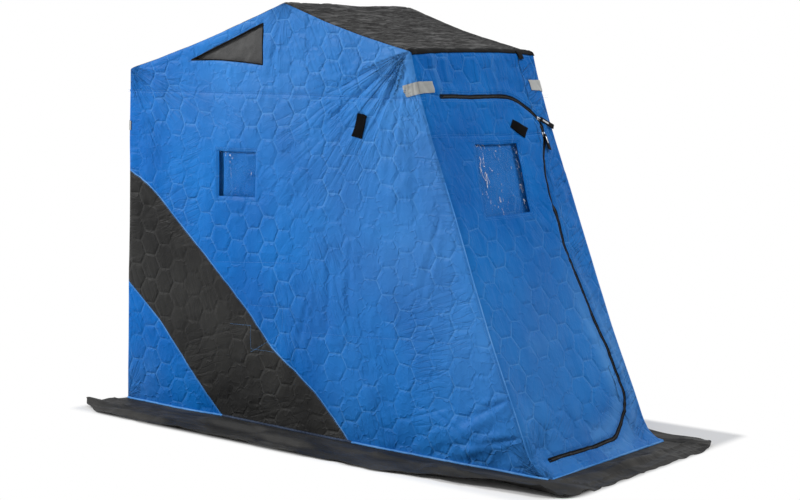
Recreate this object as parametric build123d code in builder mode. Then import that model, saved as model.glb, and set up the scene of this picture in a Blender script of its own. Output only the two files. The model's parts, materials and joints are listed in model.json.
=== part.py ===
"""One-person ice fishing hut: quilted cloth stretched over five tube bows that fan out from two hubs.

Millimetres, +Z up, +X towards the door. The ground is Z = 0, and the origin is the middle of the footprint.
Left and right are as seen by someone who stands outside and faces the door: left is -Y.
"""

from build123d import *
import math
import os

# ---- driving dimensions -------------------------------------------------------------------------

# side profile, with X counted from the foot of the rear wall
wall_foot_length = 2108.0  # rear wall to the line where the front wall would meet the ground
toe_reach = 82.0  # how far the hem flares out in front of that line
rear_lean = 55.0
rear_height = 1400.0
ridge_back = 945.0
ridge_height = 1650.0
front_top_back = 1556.0
front_height = 1462.0
body_width = 760.0

cloth = 8.0  # quilted shell, with its filling
skirt_cloth = 3.0
tape_cloth = 1.5  # zip tape, patches and binding

# ground skirt, measured out from the foot of the walls
front_skirt = 200.0
rear_skirt_tip = 35.0
side_skirt = 305.0
rear_corner_skirt = 190.0
left_front_skirt = 200.0
left_corner_skirt = 85.0
right_front_skirt = 92.0
skirt_rear_run = 125.0  # how far forward the skirt reaches its full width
skirt_corner_back = 70.0  # where the skirt's front corners start, behind its front edge
left_skirt_taper = 1300.0
right_skirt_taper = 1650.0
right_skirt_narrow = 2120.0
skirt_bend = 55.0
skirt_curve = 260.0

# colour blocking of the side walls
side_seam_height = 1296.0
sash_top = 1000.0  # on the rear edge
sash_foot = 1290.0  # along the ground from the rear wall
heel_top = 530.0
heel_foot = 590.0

# roof vents
vent_tip = (428.0, 1433.0)
vent_back = 836.0
vent_top = 1572.0
vent_bottom = 1412.0
mesh_cloth = 2.0

# side windows
side_window_width = 200.0
side_window_height = 182.0
side_window_back = 684.0
side_window_centre = 987.0

# window film and the quilted blind behind it
film = 1.0
film_margin = 12.0
blind_cloth = 6.0
blind_margin = 22.0
blind_gap = 10.0
blind_header = 18.0

# door in the front wall, across (Y) and up the slope
hinge_across = -285.0
door_top = 1387.0
door_bottom = 50.0
door_seam = 1236.0
door_edge = [(160, door_top), (318, 1262), (212, 1020), (214, 800), (300, 330), (300, 150), (175, door_bottom)]
door_edge_radii = [120, 55, 200, 400, 300, 60, 100]
zip_gap = 5.0
zip_tape = 6.0
tape_start = 15.0  # the tape starts this far from the hinge line
hinge_gap = 0.5

door_window_top = 1200.0
door_window_height = 270.0
door_window_width = 262.0
door_window_across = -18.0  # middle of the window's upper edge
door_window_lean = 48.0  # how far the lower edge sits to the left of the upper one

# zip sliders: share of the zip's length, and the direction that each pull hangs in
slider_places = [(0.315, -24.0), (0.335, -84.0)]
slider_size = (12.0, 22.0, 8.0)
pull_size = (9.0, 62.0, 3.0)
pull_height = 6.5

# patches
side_patch_size = (46.0, 94.0)
side_patch_place = (1329.0, 1190.0)
side_patch_lean = 19.0
door_patch_size = (92.0, 40.0)
door_patch_place = (146.0, 1258.0)
door_patch_turn = -25.0
reflector_height = 48.0
reflector_reach = 76.0
front_reflector_height = 1330.0
rear_reflector_height = 1164.0
rear_reflector_lip = 14.0
side_reflector_reach = 62.0
binding_drop = 15.0
binding_lap = 22.0
tab_size = (30.0, 26.0)
tab_across = 268.0

# frame
tube_radius = 11.0
bow_bend = 70.0
seat_gap = 0.3
hub_back = 845.0
hub_height = 385.0
hub_radius = 50.0
arm_reach = 62.0
arm_width = 24.0
pivot_radius = 9.0
pivot_stand = 6.0

# ---- places that follow -------------------------------------------------------------------------

base_length = wall_foot_length + toe_reach
rear_x = -(base_length + front_skirt - rear_skirt_tip) / 2
half_width = body_width / 2
inner_half = half_width - cloth


def at(back, height):
    """A point of the side profile, with its distance from the rear wall turned into X."""
    return (rear_x + back, height)


def between(start, end, share):
    """The point that lies that share of the way from start to end."""
    return (start[0] + (end[0] - start[0]) * share, start[1] + (end[1] - start[1]) * share)


def unit(start, end):
    """The direction from one profile point to another."""
    return (Vector(*end) - Vector(*start)).normalized()


def inset_outline(outline, distances):
    """Moves each edge of a clockwise outline inwards by its own distance, and gives the new corners."""
    normals = []
    for start, end in zip(outline, outline[1:] + outline[:1]):
        run = unit(start, end)
        normals.append(Vector(run.Y, -run.X))
    corners = []
    for i, corner in enumerate(outline):
        a, b = normals[i - 1], normals[i]
        reach_a = a.dot(Vector(*corner)) + distances[i - 1]
        reach_b = b.dot(Vector(*corner)) + distances[i]
        turn = a.X * b.Y - a.Y * b.X
        corners.append(((reach_a * b.Y - reach_b * a.Y) / turn, (a.X * reach_b - b.X * reach_a) / turn))
    return corners


rear_base = at(0, 0)
rear_top = at(rear_lean, rear_height)
ridge = at(ridge_back, ridge_height)
front_top = at(front_top_back, front_height)
front_foot = at(wall_foot_length, 0)
toe_tip = at(base_length, 0)

front_slope = math.dist(front_foot, front_top)
sill_top_up = door_bottom - zip_gap / 2
toe_top_up = sill_top_up - zip_tape - tape_cloth
sill_top = between(front_foot, front_top, sill_top_up / front_slope)
toe_top = between(front_foot, front_top, toe_top_up / front_slope)

profile = [rear_base, rear_top, ridge, front_top, toe_top, toe_tip]
lining = inset_outline(profile, [cloth] * 5 + [0])
rear_base_in, rear_top_in, ridge_in, front_top_in, toe_top_in, toe_tip_in = lining

front_plane = Plane(
    origin=(front_foot[0], 0, 0),
    x_dir=(0, 1, 0),
    z_dir=(front_height, 0, front_foot[0] - front_top[0]),
)
rear_plane = Plane(origin=(rear_x, 0, 0), x_dir=(0, -1, 0), z_dir=(-rear_height, 0, rear_lean))
rear_slope = math.dist(rear_base, rear_top)
down_front = unit(front_top, front_foot)
up_roof = unit(front_top, ridge)
front_out = Vector(-down_front.Y, down_front.X)
roof_out = Vector(up_roof.Y, -up_roof.X)
sill_top_in = (sill_top[0] - front_out.X * cloth, sill_top[1] - front_out.Y * cloth)
through = 4 * cloth  # long enough to cut the front wall from face to face


def rear_edge(height):
    """The point of the rear wall's outer face at that height."""
    return between(rear_base, rear_top, height / rear_height)


def front_edge(height):
    """The point of the front wall's outer face at that height."""
    return between(front_foot, front_top, height / front_height)


def side_plane(side, outer, thickness):
    """A plane from which extrude(thickness) fills a slab whose far side lies at that distance from the middle."""
    return Plane.XZ.offset(outer - thickness) if side < 0 else Plane.XZ.offset(-outer)


def save(part, name):
    """Labels one finished piece and writes it as its own file."""
    part.label = name
    export_step(part, f"parts/{name}.step")


os.makedirs("parts", exist_ok=True)

# ---- side walls ---------------------------------------------------------------------------------

rear_seam = rear_edge(side_seam_height)
front_seam = front_edge(side_seam_height)
sash_rear = rear_edge(sash_top)
heel_rear = rear_edge(heel_top)
sash_front = at(sash_foot, 0)
heel_front = at(heel_foot, 0)
vent_outline = [at(*vent_tip), at(vent_back, vent_top), at(vent_back, vent_bottom)]
side_window_place = at(side_window_back, side_window_centre)
side_patch_point = at(*side_patch_place)


def make_side(name, side):
    """The sewn panels of one side wall, with its vent, window and hook patch."""
    wall_plane = side_plane(side, half_width, cloth)

    with BuildPart() as top_panel:
        with BuildSketch(wall_plane):
            Polygon(rear_seam, rear_top, ridge, front_top, front_seam, align=None)
            Polygon(*vent_outline, align=None, mode=Mode.SUBTRACT)
        extrude(amount=cloth)
    save(top_panel.part, f"{name}_top_panel")

    with BuildPart() as middle_panel:
        with BuildSketch(wall_plane):
            Polygon(sash_rear, rear_seam, front_seam, toe_top, toe_tip, sash_front, align=None)
            with Locations(side_window_place):
                Rectangle(side_window_width, side_window_height, mode=Mode.SUBTRACT)
        extrude(amount=cloth)
    save(middle_panel.part, f"{name}_middle_panel")

    with BuildPart() as sash_panel:
        with BuildSketch(wall_plane):
            Polygon(heel_rear, sash_rear, sash_front, heel_front, align=None)
        extrude(amount=cloth)
    save(sash_panel.part, f"{name}_sash_panel")

    with BuildPart() as heel_panel:
        with BuildSketch(wall_plane):
            Polygon(rear_base, heel_rear, heel_front, align=None)
        extrude(amount=cloth)
    save(heel_panel.part, f"{name}_heel_panel")

    # the vent's mesh fills the cut, flush with the lining
    with BuildPart() as vent_mesh:
        with BuildSketch(side_plane(side, inner_half + mesh_cloth, mesh_cloth)):
            Polygon(*vent_outline, align=None)
        extrude(amount=mesh_cloth)
    save(vent_mesh.part, f"{name}_vent_mesh")

    # clear film, sewn to the lining around the cut
    with BuildPart() as window_film:
        with BuildSketch(side_plane(side, inner_half, film)):
            with Locations(side_window_place):
                Rectangle(side_window_width + 2 * film_margin, side_window_height + 2 * film_margin)
        extrude(amount=film)
    save(window_film.part, f"{name}_window_film")

    # quilted blind, hung from a strip along its top edge
    blind_width = side_window_width + 2 * blind_margin
    blind_height = side_window_height + 2 * blind_margin
    strip_height = side_window_place[1] + (blind_height - blind_header) / 2
    with BuildPart() as window_blind:
        with BuildSketch(side_plane(side, inner_half - film, blind_gap + blind_cloth)):
            with Locations((side_window_place[0], strip_height)):
                Rectangle(blind_width, blind_header)
        extrude(amount=blind_gap + blind_cloth)
        with BuildSketch(side_plane(side, inner_half - film - blind_gap, blind_cloth)):
            with Locations(side_window_place):
                Rectangle(blind_width, blind_height)
        extrude(amount=blind_cloth)
    save(window_blind.part, f"{name}_window_blind")

    with BuildPart() as hook_patch:
        with BuildSketch(side_plane(side, half_width + tape_cloth, tape_cloth)):
            with Locations(Location((*side_patch_point, 0), (0, 0, -side_patch_lean))):
                Rectangle(*side_patch_size)
        extrude(amount=tape_cloth)
    save(hook_patch.part, f"{name}_hook_patch")


make_side("left", -1)
make_side("right", 1)

# ---- rear wall and roof, which fit between the side walls ---------------------------------------

rear_seam_in = between(rear_base_in, rear_top_in, side_seam_height / rear_top_in[1])

sections = {
    "rear_lower_panel": [rear_base, rear_seam, rear_seam_in, rear_base_in],
    "rear_top_panel": [rear_seam, rear_top, rear_top_in, rear_seam_in],
    "roof_rear_panel": [rear_top, ridge, ridge_in, rear_top_in],
    "roof_front_panel": [ridge, front_top, front_top_in, ridge_in],
    "front_sill_panel": [sill_top, toe_top, toe_tip, toe_tip_in, toe_top_in, sill_top_in],
}
for name, section in sections.items():
    with BuildPart() as panel:
        with BuildSketch(Plane.XZ):
            Polygon(*section, align=None)
        extrude(amount=inner_half, both=True)
    save(panel.part, name)

# black binding over the roof's front edge, with the hanging tab sewn into it
binding_corner = inset_outline(profile, [-tape_cloth] * 6)[3]
corner = Vector(*front_top)
binding_section = [
    corner,
    corner + down_front * binding_drop,
    corner + down_front * binding_drop + front_out * tape_cloth,
    Vector(*binding_corner),
    corner + up_roof * binding_lap + roof_out * tape_cloth,
    corner + up_roof * binding_lap,
]
with BuildPart() as roof_binding:
    with BuildSketch(Plane.XZ):
        Polygon(*[(p.X, p.Y) for p in binding_section], align=None)
    extrude(amount=half_width, both=True)
    with BuildSketch(front_plane):
        with Locations((tab_across, front_slope - binding_drop - tab_size[1] / 2 + tape_cloth)):
            Rectangle(*tab_size)
    extrude(amount=tape_cloth)
save(roof_binding.part, "roof_front_binding")

# ---- front wall around the door -----------------------------------------------------------------

with BuildLine(Plane.XY) as zip_line:
    FilletPolyline(
        (hinge_across + hinge_gap, door_top),
        *door_edge,
        (hinge_across + hinge_gap, door_bottom),
        radius=door_edge_radii,
    )
zip_path = zip_line.line

with BuildSketch(Plane.XY) as door_opening:
    with BuildLine():
        add(zip_path)
        Line(zip_path @ 1, zip_path @ 0)
    make_face()

with BuildSketch(Plane.XY) as zip_slot:
    trace(zip_path, line_width=zip_gap)

with BuildSketch(Plane.XY) as zip_band:
    trace(zip_path, line_width=zip_gap + 2 * zip_tape)
    with Locations((hinge_across + tape_start + body_width, 0)):
        Rectangle(2 * body_width, 4 * body_width, mode=Mode.INTERSECT)

door_face = door_opening.sketch - zip_slot.sketch
header_bottom = door_top + zip_gap / 2
front_section = [front_top, sill_top, sill_top_in, front_top_in]
front_pieces = {
    "front_header_panel": [
        (-half_width, header_bottom),
        (half_width, header_bottom),
        (half_width, front_slope + cloth),
        (-half_width, front_slope + cloth),
    ],
    "front_hinge_strip": [
        (-half_width, sill_top_up),
        (hinge_across, sill_top_up),
        (hinge_across, header_bottom),
        (-half_width, header_bottom),
    ],
    "front_zip_strip": [
        (hinge_across + hinge_gap, sill_top_up),
        (half_width, sill_top_up),
        (half_width, header_bottom),
        (hinge_across + hinge_gap, header_bottom),
    ],
}
for name, region in front_pieces.items():
    with BuildPart() as panel:
        with BuildSketch(Plane.XZ):
            Polygon(*front_section, align=None)
        extrude(amount=inner_half, both=True)
        with BuildSketch(front_plane):
            Polygon(*region, align=None)
            if name == "front_zip_strip":
                add(door_opening.sketch, mode=Mode.SUBTRACT)
                add(zip_slot.sketch, mode=Mode.SUBTRACT)
        extrude(amount=through, both=True, mode=Mode.INTERSECT)
    save(panel.part, name)

with BuildPart() as wall_zip_tape:
    with BuildSketch(front_plane):
        add(zip_band.sketch)
        add(zip_slot.sketch, mode=Mode.SUBTRACT)
        add(door_opening.sketch, mode=Mode.SUBTRACT)
    extrude(amount=tape_cloth)
save(wall_zip_tape.part, "wall_zip_tape")

# two sliders parked at the top corner, on the wall's half of the zip
with BuildPart() as zip_sliders:
    for share, pull_turn in slider_places:
        place = zip_path @ share
        along = zip_path % share
        outward = Vector(-along.Y, along.X)
        body_place = place + outward * (zip_gap + slider_size[0]) / 2
        body_turn = math.degrees(math.atan2(along.Y, along.X)) - 90
        with BuildSketch(front_plane.offset(tape_cloth)):
            with Locations(Location((body_place.X, body_place.Y, 0), (0, 0, body_turn))):
                Rectangle(slider_size[0], slider_size[1])
        extrude(amount=slider_size[2])
        hang = Vector(math.cos(math.radians(pull_turn)), math.sin(math.radians(pull_turn)))
        pull_place = body_place + hang * (pull_size[1] / 2)
        with BuildSketch(front_plane.offset(pull_height)):
            with Locations(Location((pull_place.X, pull_place.Y, 0), (0, 0, pull_turn - 90))):
                Rectangle(pull_size[0], pull_size[1])
        extrude(amount=pull_size[2])
save(zip_sliders.part, "zip_sliders")

# ---- door flap ----------------------------------------------------------------------------------

window_left = door_window_across - door_window_width / 2
window_right = door_window_across + door_window_width / 2
window_bottom = door_window_top - door_window_height


def door_window_outline(margin):
    """The leaning window's corners, grown by a margin."""
    return [
        (window_left - margin, door_window_top + margin),
        (window_right + margin, door_window_top + margin),
        (window_right - door_window_lean + margin, window_bottom - margin),
        (window_left - door_window_lean - margin, window_bottom - margin),
    ]


door_height = door_top - door_bottom
for name, low, high in (
    ("door_top_panel", door_seam, door_seam + door_height),
    ("door_main_panel", door_seam - door_height, door_seam),
):
    with BuildPart() as panel:
        with BuildSketch(front_plane):
            add(door_face)
            with Locations((0, (low + high) / 2)):
                Rectangle(2 * half_width, high - low, mode=Mode.INTERSECT)
            if name == "door_main_panel":
                Polygon(*door_window_outline(0), align=None, mode=Mode.SUBTRACT)
        extrude(amount=-cloth)
    save(panel.part, name)

with BuildPart() as door_zip_tape:
    with BuildSketch(front_plane):
        add(door_face)
        add(zip_band.sketch, mode=Mode.INTERSECT)
    extrude(amount=tape_cloth)
save(door_zip_tape.part, "door_zip_tape")

with BuildPart() as door_window_film:
    with BuildSketch(front_plane.offset(-cloth)):
        Polygon(*door_window_outline(film_margin), align=None)
    extrude(amount=-film)
save(door_window_film.part, "door_window_film")

door_blind_top = door_window_outline(blind_margin)[:2]
with BuildPart() as door_window_blind:
    with BuildSketch(front_plane.offset(-cloth - film)):
        Polygon(
            *door_blind_top,
            (door_blind_top[1][0], door_blind_top[1][1] - blind_header),
            (door_blind_top[0][0], door_blind_top[0][1] - blind_header),
            align=None,
        )
    extrude(amount=-blind_gap - blind_cloth)
    with BuildSketch(front_plane.offset(-cloth - film - blind_gap)):
        Polygon(*door_window_outline(blind_margin), align=None)
    extrude(amount=-blind_cloth)
save(door_window_blind.part, "door_window_blind")

with BuildPart() as door_hook_patch:
    with BuildSketch(front_plane):
        with Locations(Location((*door_patch_place, 0), (0, 0, door_patch_turn))):
            Rectangle(*door_patch_size)
    extrude(amount=tape_cloth)
save(door_hook_patch.part, "door_hook_patch")

# ---- reflective patches that wrap the corners ---------------------------------------------------

front_edge_place = Vector(*front_edge(front_reflector_height))
front_reflector_up = front_reflector_height * front_slope / front_height
patch_middle = half_width + tape_cloth - reflector_reach / 2
half_patch = down_front * (reflector_height / 2)
front_patch_lip = [
    front_edge_place - half_patch + front_out * tape_cloth,
    front_edge_place + half_patch + front_out * tape_cloth,
    front_edge_place + half_patch - front_out * side_reflector_reach,
    front_edge_place - half_patch - front_out * side_reflector_reach,
]
with BuildPart() as front_reflectors:
    for side in (-1, 1):
        with BuildSketch(front_plane):
            with Locations((side * patch_middle, front_reflector_up)):
                Rectangle(reflector_reach, reflector_height)
        extrude(amount=tape_cloth)
        with BuildSketch(side_plane(side, half_width + tape_cloth, tape_cloth)):
            Polygon(*[(p.X, p.Y) for p in front_patch_lip], align=None)
        extrude(amount=tape_cloth)
save(front_reflectors.part, "front_reflectors")

rear_edge_place = Vector(*rear_edge(rear_reflector_height))
rear_run = unit(rear_base, rear_top)
rear_out = Vector(-rear_run.Y, rear_run.X)
half_patch = rear_run * (reflector_height / 2)
rear_patch_lip = [
    rear_edge_place - half_patch + rear_out * tape_cloth,
    rear_edge_place + half_patch + rear_out * tape_cloth,
    rear_edge_place + half_patch - rear_out * rear_reflector_lip,
    rear_edge_place - half_patch - rear_out * rear_reflector_lip,
]
with BuildPart() as rear_reflectors:
    for side in (-1, 1):
        with BuildSketch(rear_plane):
            with Locations((-side * patch_middle, rear_reflector_height * rear_slope / rear_height)):
                Rectangle(reflector_reach, reflector_height)
        extrude(amount=tape_cloth)
        with BuildSketch(side_plane(side, half_width + tape_cloth, tape_cloth)):
            Polygon(*[(p.X, p.Y) for p in rear_patch_lip], align=None)
        extrude(amount=tape_cloth)
save(rear_reflectors.part, "rear_reflectors")

# ---- ground skirt, cut into three along the mitres at the front corners -------------------------

rear_tip = rear_x - rear_skirt_tip
toe_x = toe_tip[0]
skirt_front = toe_x + front_skirt
skirt_side = half_width + side_skirt
skirt_outline = [
    (rear_x, half_width),
    (rear_x, -half_width),
    (rear_tip, -half_width - rear_corner_skirt),
    (rear_x + skirt_rear_run, -skirt_side),
    (rear_x + left_skirt_taper, -skirt_side),
    (skirt_front - skirt_corner_back, -half_width - left_front_skirt),
    (skirt_front, -half_width - left_corner_skirt),
    (skirt_front, half_width),
    (skirt_front - skirt_corner_back, half_width + right_front_skirt),
    (rear_x + right_skirt_narrow, half_width + right_front_skirt),
    (rear_x + right_skirt_taper, skirt_side),
    (rear_x + skirt_rear_run, skirt_side),
    (rear_tip, half_width + rear_corner_skirt),
]
skirt_radii = [0, 0, 0, skirt_bend, skirt_curve, skirt_bend, skirt_bend]
skirt_radii += [skirt_bend, skirt_bend, skirt_curve, skirt_curve, skirt_bend, 0]
left_mitre = (skirt_front, -half_width - front_skirt)
right_mitre = (skirt_front, half_width + front_skirt)
skirt_pieces = {
    "left_skirt": [(rear_tip, -half_width), (toe_x, -half_width), left_mitre, (rear_tip, left_mitre[1] - side_skirt)],
    "front_skirt": [(toe_x, -half_width), left_mitre, right_mitre, (toe_x, half_width)],
    "right_skirt": [(toe_x, half_width), (rear_tip, half_width), (rear_tip, right_mitre[1] + side_skirt), right_mitre],
}
for name, region in skirt_pieces.items():
    with BuildPart() as skirt:
        with BuildSketch(Plane.XY):
            with BuildLine():
                FilletPolyline(*skirt_outline, radius=skirt_radii, close=True)
            make_face()
            Polygon(*region, align=None, mode=Mode.INTERSECT)
        extrude(amount=skirt_cloth)
    save(skirt.part, name)

# ---- frame: five bows that fan out from a hub on each side --------------------------------------

hub = at(hub_back, hub_height)
bow_side = inner_half - seat_gap - tube_radius
inset = tube_radius + seat_gap
bow_corners = inset_outline(lining, [inset] * 5 + [tube_radius])
bows = {
    "rear_floor_bow": bow_corners[0],
    "rear_bow": bow_corners[1],
    "ridge_bow": bow_corners[2],
    "front_bow": bow_corners[3],
    "front_floor_bow": bow_corners[5],
}
for name, top in bows.items():
    arm = unit(hub, top)
    start = (hub[0] + arm.X * (arm_reach + seat_gap), hub[1] + arm.Y * (arm_reach + seat_gap))
    with BuildPart() as bow:
        with BuildLine() as route:
            FilletPolyline(
                (start[0], -bow_side, start[1]),
                (top[0], -bow_side, top[1]),
                (top[0], bow_side, top[1]),
                (start[0], bow_side, start[1]),
                radius=bow_bend,
            )
        with BuildSketch(Plane(origin=route.line @ 0, z_dir=route.line % 0)):
            Circle(tube_radius)
        sweep(path=route.line)
    save(bow.part, name)

for side, name in ((-1, "left_hub"), (1, "right_hub")):
    hub_plane = side_plane(side, bow_side + tube_radius, 2 * tube_radius)
    with BuildPart() as plate:
        with BuildSketch(hub_plane):
            with Locations(hub):
                Circle(hub_radius)
            for top in bows.values():
                arm = unit(hub, top)
                turn = math.degrees(math.atan2(arm.Y, arm.X))
                middle = (hub[0] + arm.X * arm_reach / 2, hub[1] + arm.Y * arm_reach / 2)
                with Locations(Location((middle[0], middle[1], 0), (0, 0, turn))):
                    Rectangle(arm_reach, arm_width)
        extrude(amount=2 * tube_radius)
        with BuildSketch(side_plane(side, bow_side, tube_radius + pivot_stand)):
            with Locations(hub):
                Circle(pivot_radius)
        extrude(amount=tube_radius + pivot_stand)
    save(plate.part, name)
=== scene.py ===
# %% [markdown]
# # One-person ice fishing hut
#
# The hut is a quilted shell, stretched over five tube bows that fan out from two hubs near the floor.
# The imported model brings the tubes, the hubs and a plain slab wherever there is cloth. This lesson keeps the
# tubes and hubs, and gives each slab of cloth its quilting, folds, seams, zip and weave. The door keeps its hinge.

# %% Load the frame
import json
import math

import bmesh
import bpy
import numpy as np
from mathutils import Matrix, Vector


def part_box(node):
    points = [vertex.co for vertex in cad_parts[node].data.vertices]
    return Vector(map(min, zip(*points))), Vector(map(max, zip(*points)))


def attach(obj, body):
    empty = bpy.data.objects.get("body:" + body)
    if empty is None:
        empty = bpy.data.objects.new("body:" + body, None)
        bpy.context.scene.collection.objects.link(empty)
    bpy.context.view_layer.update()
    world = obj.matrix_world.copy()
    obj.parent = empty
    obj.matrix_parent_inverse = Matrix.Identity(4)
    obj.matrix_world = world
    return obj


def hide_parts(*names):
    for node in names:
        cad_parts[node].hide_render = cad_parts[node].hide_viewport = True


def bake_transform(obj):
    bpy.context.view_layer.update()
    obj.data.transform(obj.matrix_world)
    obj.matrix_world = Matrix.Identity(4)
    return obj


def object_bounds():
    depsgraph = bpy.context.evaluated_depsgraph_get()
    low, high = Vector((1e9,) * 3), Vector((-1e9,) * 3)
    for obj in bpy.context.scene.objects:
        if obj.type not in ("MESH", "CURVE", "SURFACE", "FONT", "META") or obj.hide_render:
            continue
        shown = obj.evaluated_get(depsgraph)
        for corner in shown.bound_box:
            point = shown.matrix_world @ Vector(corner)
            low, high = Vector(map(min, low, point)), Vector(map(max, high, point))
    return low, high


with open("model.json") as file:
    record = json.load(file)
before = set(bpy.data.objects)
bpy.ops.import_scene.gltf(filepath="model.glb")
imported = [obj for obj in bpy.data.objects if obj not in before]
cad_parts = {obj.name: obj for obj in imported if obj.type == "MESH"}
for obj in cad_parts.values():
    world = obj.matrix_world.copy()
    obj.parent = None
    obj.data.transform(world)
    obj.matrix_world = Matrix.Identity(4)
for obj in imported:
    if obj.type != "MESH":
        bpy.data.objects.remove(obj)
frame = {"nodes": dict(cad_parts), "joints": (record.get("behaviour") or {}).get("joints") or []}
cad_low, cad_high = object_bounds()

# %% [markdown]
# ## Places
#
# Cloth is cut flat, so every seam of the hut is easiest to give in flat coordinates. On a side wall these are
# the distance from the rear wall and the height. The rear wall, the roof and the front wall are one long band
# that goes over the hut, and its coordinates are the distance across and the length along the hut's profile.
# The corners of that profile come from the frame, so the cloth follows when the frame changes.

# %% Corners of the profile


def low(node):
    """The lowest corner of a part's box."""
    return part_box(node)[0]


def high(node):
    """The highest corner of a part's box."""
    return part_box(node)[1]


half = high("right_middle_panel").y
rear_x = low("rear_lower_panel").x
hinge = frame["joints"][0]
hinge_y = hinge["pos_m"][1]
front_lean = hinge["axis"][0] / -hinge["axis"][2]

rear_foot = (0.0, 0.0)
rear_top = (low("roof_rear_panel").x - rear_x, high("rear_top_panel").z)
ridge = (low("roof_front_panel").x - rear_x, high("roof_front_panel").z)
front_top = (high("roof_front_panel").x - rear_x, high("front_header_panel").z)
front_foot = (hinge["pos_m"][0] - rear_x, 0.0)
toe = (high("left_middle_panel").x - rear_x, 0.0)
profile_corners = [tuple(round(v, 3) for v in corner) for corner in (rear_top, ridge, front_top, toe)]
print("half width", round(half, 3), "profile", profile_corners)

# %% Lines


def lengths(line):
    """How far along a line each of its points lies."""
    return np.r_[0, np.cumsum(np.linalg.norm(np.diff(line, axis=0), axis=1))]


def follow(places, run, line):
    """The points of a line at some places along it, where run says how far along its own points lie."""
    return np.stack([np.interp(places, run, axis) for axis in line.T], axis=1)


def even(line, step):
    """The same line, as points that are an even step apart."""
    line = np.asarray(line, float)
    run = lengths(line)
    return follow(np.linspace(0, run[-1], max(2, round(run[-1] / step) + 1)), run, line)


def soften(line, radius, step=0.004):
    """Rounds the corners of a line over about that radius, and keeps its two ends."""
    line = even(line, step)
    reach = min(int(3 * radius / step), len(line) - 1)
    weights = np.exp(-0.5 * (np.arange(-reach, reach + 1) * step / radius) ** 2)
    before = 2 * line[0] - line[reach:0:-1]
    after = 2 * line[-1] - line[-2 : -reach - 2 : -1]
    longer = np.vstack([before, line, after])
    return np.stack([np.convolve(axis, weights / weights.sum(), "valid") for axis in longer.T], axis=1)


def thin(line, tolerance):
    """Leaves out the points of a line that lie almost straight between their neighbours."""
    start, end = line[0], line[-1]
    run = end - start
    length = np.hypot(*run)
    if length < 1e-9:
        across = np.linalg.norm(line - start, axis=1)
    else:
        across = np.abs(run[0] * (line[:, 1] - start[1]) - run[1] * (line[:, 0] - start[0])) / length
    far = int(across.argmax())
    if across[far] < tolerance:
        return np.array([start, end])
    return np.vstack([thin(line[: far + 1], tolerance)[:-1], thin(line[far:], tolerance)])


def closed(outline):
    """An outline with its first point again at the end."""
    return np.vstack([outline, outline[:1]])


def nearest(points, line):
    """For each point: its distance to a line, the line's nearest point, the normal there and the length up to there."""
    if len(line) > 60:
        line = thin(line, 0.0002)
    count = len(points)
    gap = np.full(count, np.inf)
    foot, normal, along = np.zeros((count, 2)), np.zeros((count, 2)), np.zeros(count)
    passed = 0.0
    for start, end in zip(line[:-1], line[1:]):
        run = end - start
        length = max(np.hypot(*run), 1e-9)
        share = np.clip((points - start) @ run / length**2, 0, 1)
        near = start + share[:, None] * run
        distance = np.linalg.norm(points - near, axis=1)
        closer = distance < gap
        gap[closer] = distance[closer]
        foot[closer] = near[closer]
        normal[closer] = (-run[1] / length, run[0] / length)
        along[closer] = passed + share[closer] * length
        passed += length
    return gap, foot, normal, along


def inside(points, outline):
    """Which points lie inside a closed outline."""
    if len(outline) > 60:
        outline = thin(closed(outline), 0.0002)
    within = np.zeros(len(points), bool)
    x, y = points[:, 0], points[:, 1]
    for (x0, y0), (x1, y1) in zip(outline, np.roll(outline, -1, axis=0)):
        if y0 != y1:
            within ^= ((y0 > y) != (y1 > y)) & (x < (x1 - x0) * (y - y0) / (y1 - y0) + x0)
    return within


def rise(start, end, value):
    """Goes smoothly from 0 at start to 1 at end."""
    share = np.clip((np.asarray(value, float) - start) / (end - start), 0, 1)
    return share * share * (3 - 2 * share)


def bell(distance, width):
    """1 at no distance, and near 0 beyond twice the width."""
    return np.exp(-((distance / width) ** 2))


# %% [markdown]
# The roof sags a little between its bows, and the front wall is pulled into a shallow hollow between the front
# bow and the floor, where its hem kicks forward. Each line is drawn through a few stations and then softened.

# %% The profile that the cloth is stretched over
roof_sag = 0.012
front_stations = [(1.37, 0.001), (1.15, -0.006), (0.90, -0.003), (0.47, -0.003), (0.30, 0.004), (0.16, 0.012)]
hem_stations = [(toe[0] - 0.090, 0.056), (toe[0] - 0.055, 0.020)]


def sagging(start, end, sag):
    """A slack line between two poles."""
    share = np.linspace(0, 1, 17)[:, None]
    line = np.array(start) * (1 - share) + np.array(end) * share
    line[:, 1] -= sag * np.sin(np.pi * share[:, 0])
    return line


front_line = [(front_top[0] + 0.012, front_top[1])]
front_line += [(front_foot[0] - z * front_lean + proud, z) for z, proud in front_stations]
front_line = soften(front_line + hem_stations + [toe], 0.03)
roof_line = np.vstack([sagging(rear_top, ridge, roof_sag), sagging(ridge, front_line[0], roof_sag)[1:]])
profile = soften(np.vstack([[rear_foot], roof_line, front_line[1:]]), 0.008)
profile_run = lengths(profile)
tangent = np.gradient(profile, axis=0)
profile_normal = np.stack([-tangent[:, 1], tangent[:, 0]], axis=1) / np.linalg.norm(tangent, axis=1)[:, None]
side_outline = thin(profile, 0.0003)


def run_at(point):
    """The length along the profile at which it passes nearest to a point."""
    return float(nearest(np.array([point], float), profile)[3][0])


top_run, ridge_run, brow_run, toe_run = run_at(rear_top), run_at(ridge), run_at(front_line[0]), profile_run[-1]
front_part = profile_run > brow_run - 0.02


def front_run(height):
    """The length along the profile at which the front wall has that height."""
    return np.interp(-np.asarray(height, float), -profile[front_part, 1], profile_run[front_part])


def down_front(run, start, end):
    """Goes smoothly from 0 to 1 down the front wall, between two heights."""
    return rise(float(front_run(start)), float(front_run(end)), run)


def front_flat(places):
    """Flat places on the front wall, from distances across and heights."""
    return [(y, float(front_run(z))) for y, z in places]


print("profile length", round(profile_run[-1], 3), "m, in", len(side_outline), "straight parts")

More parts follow.
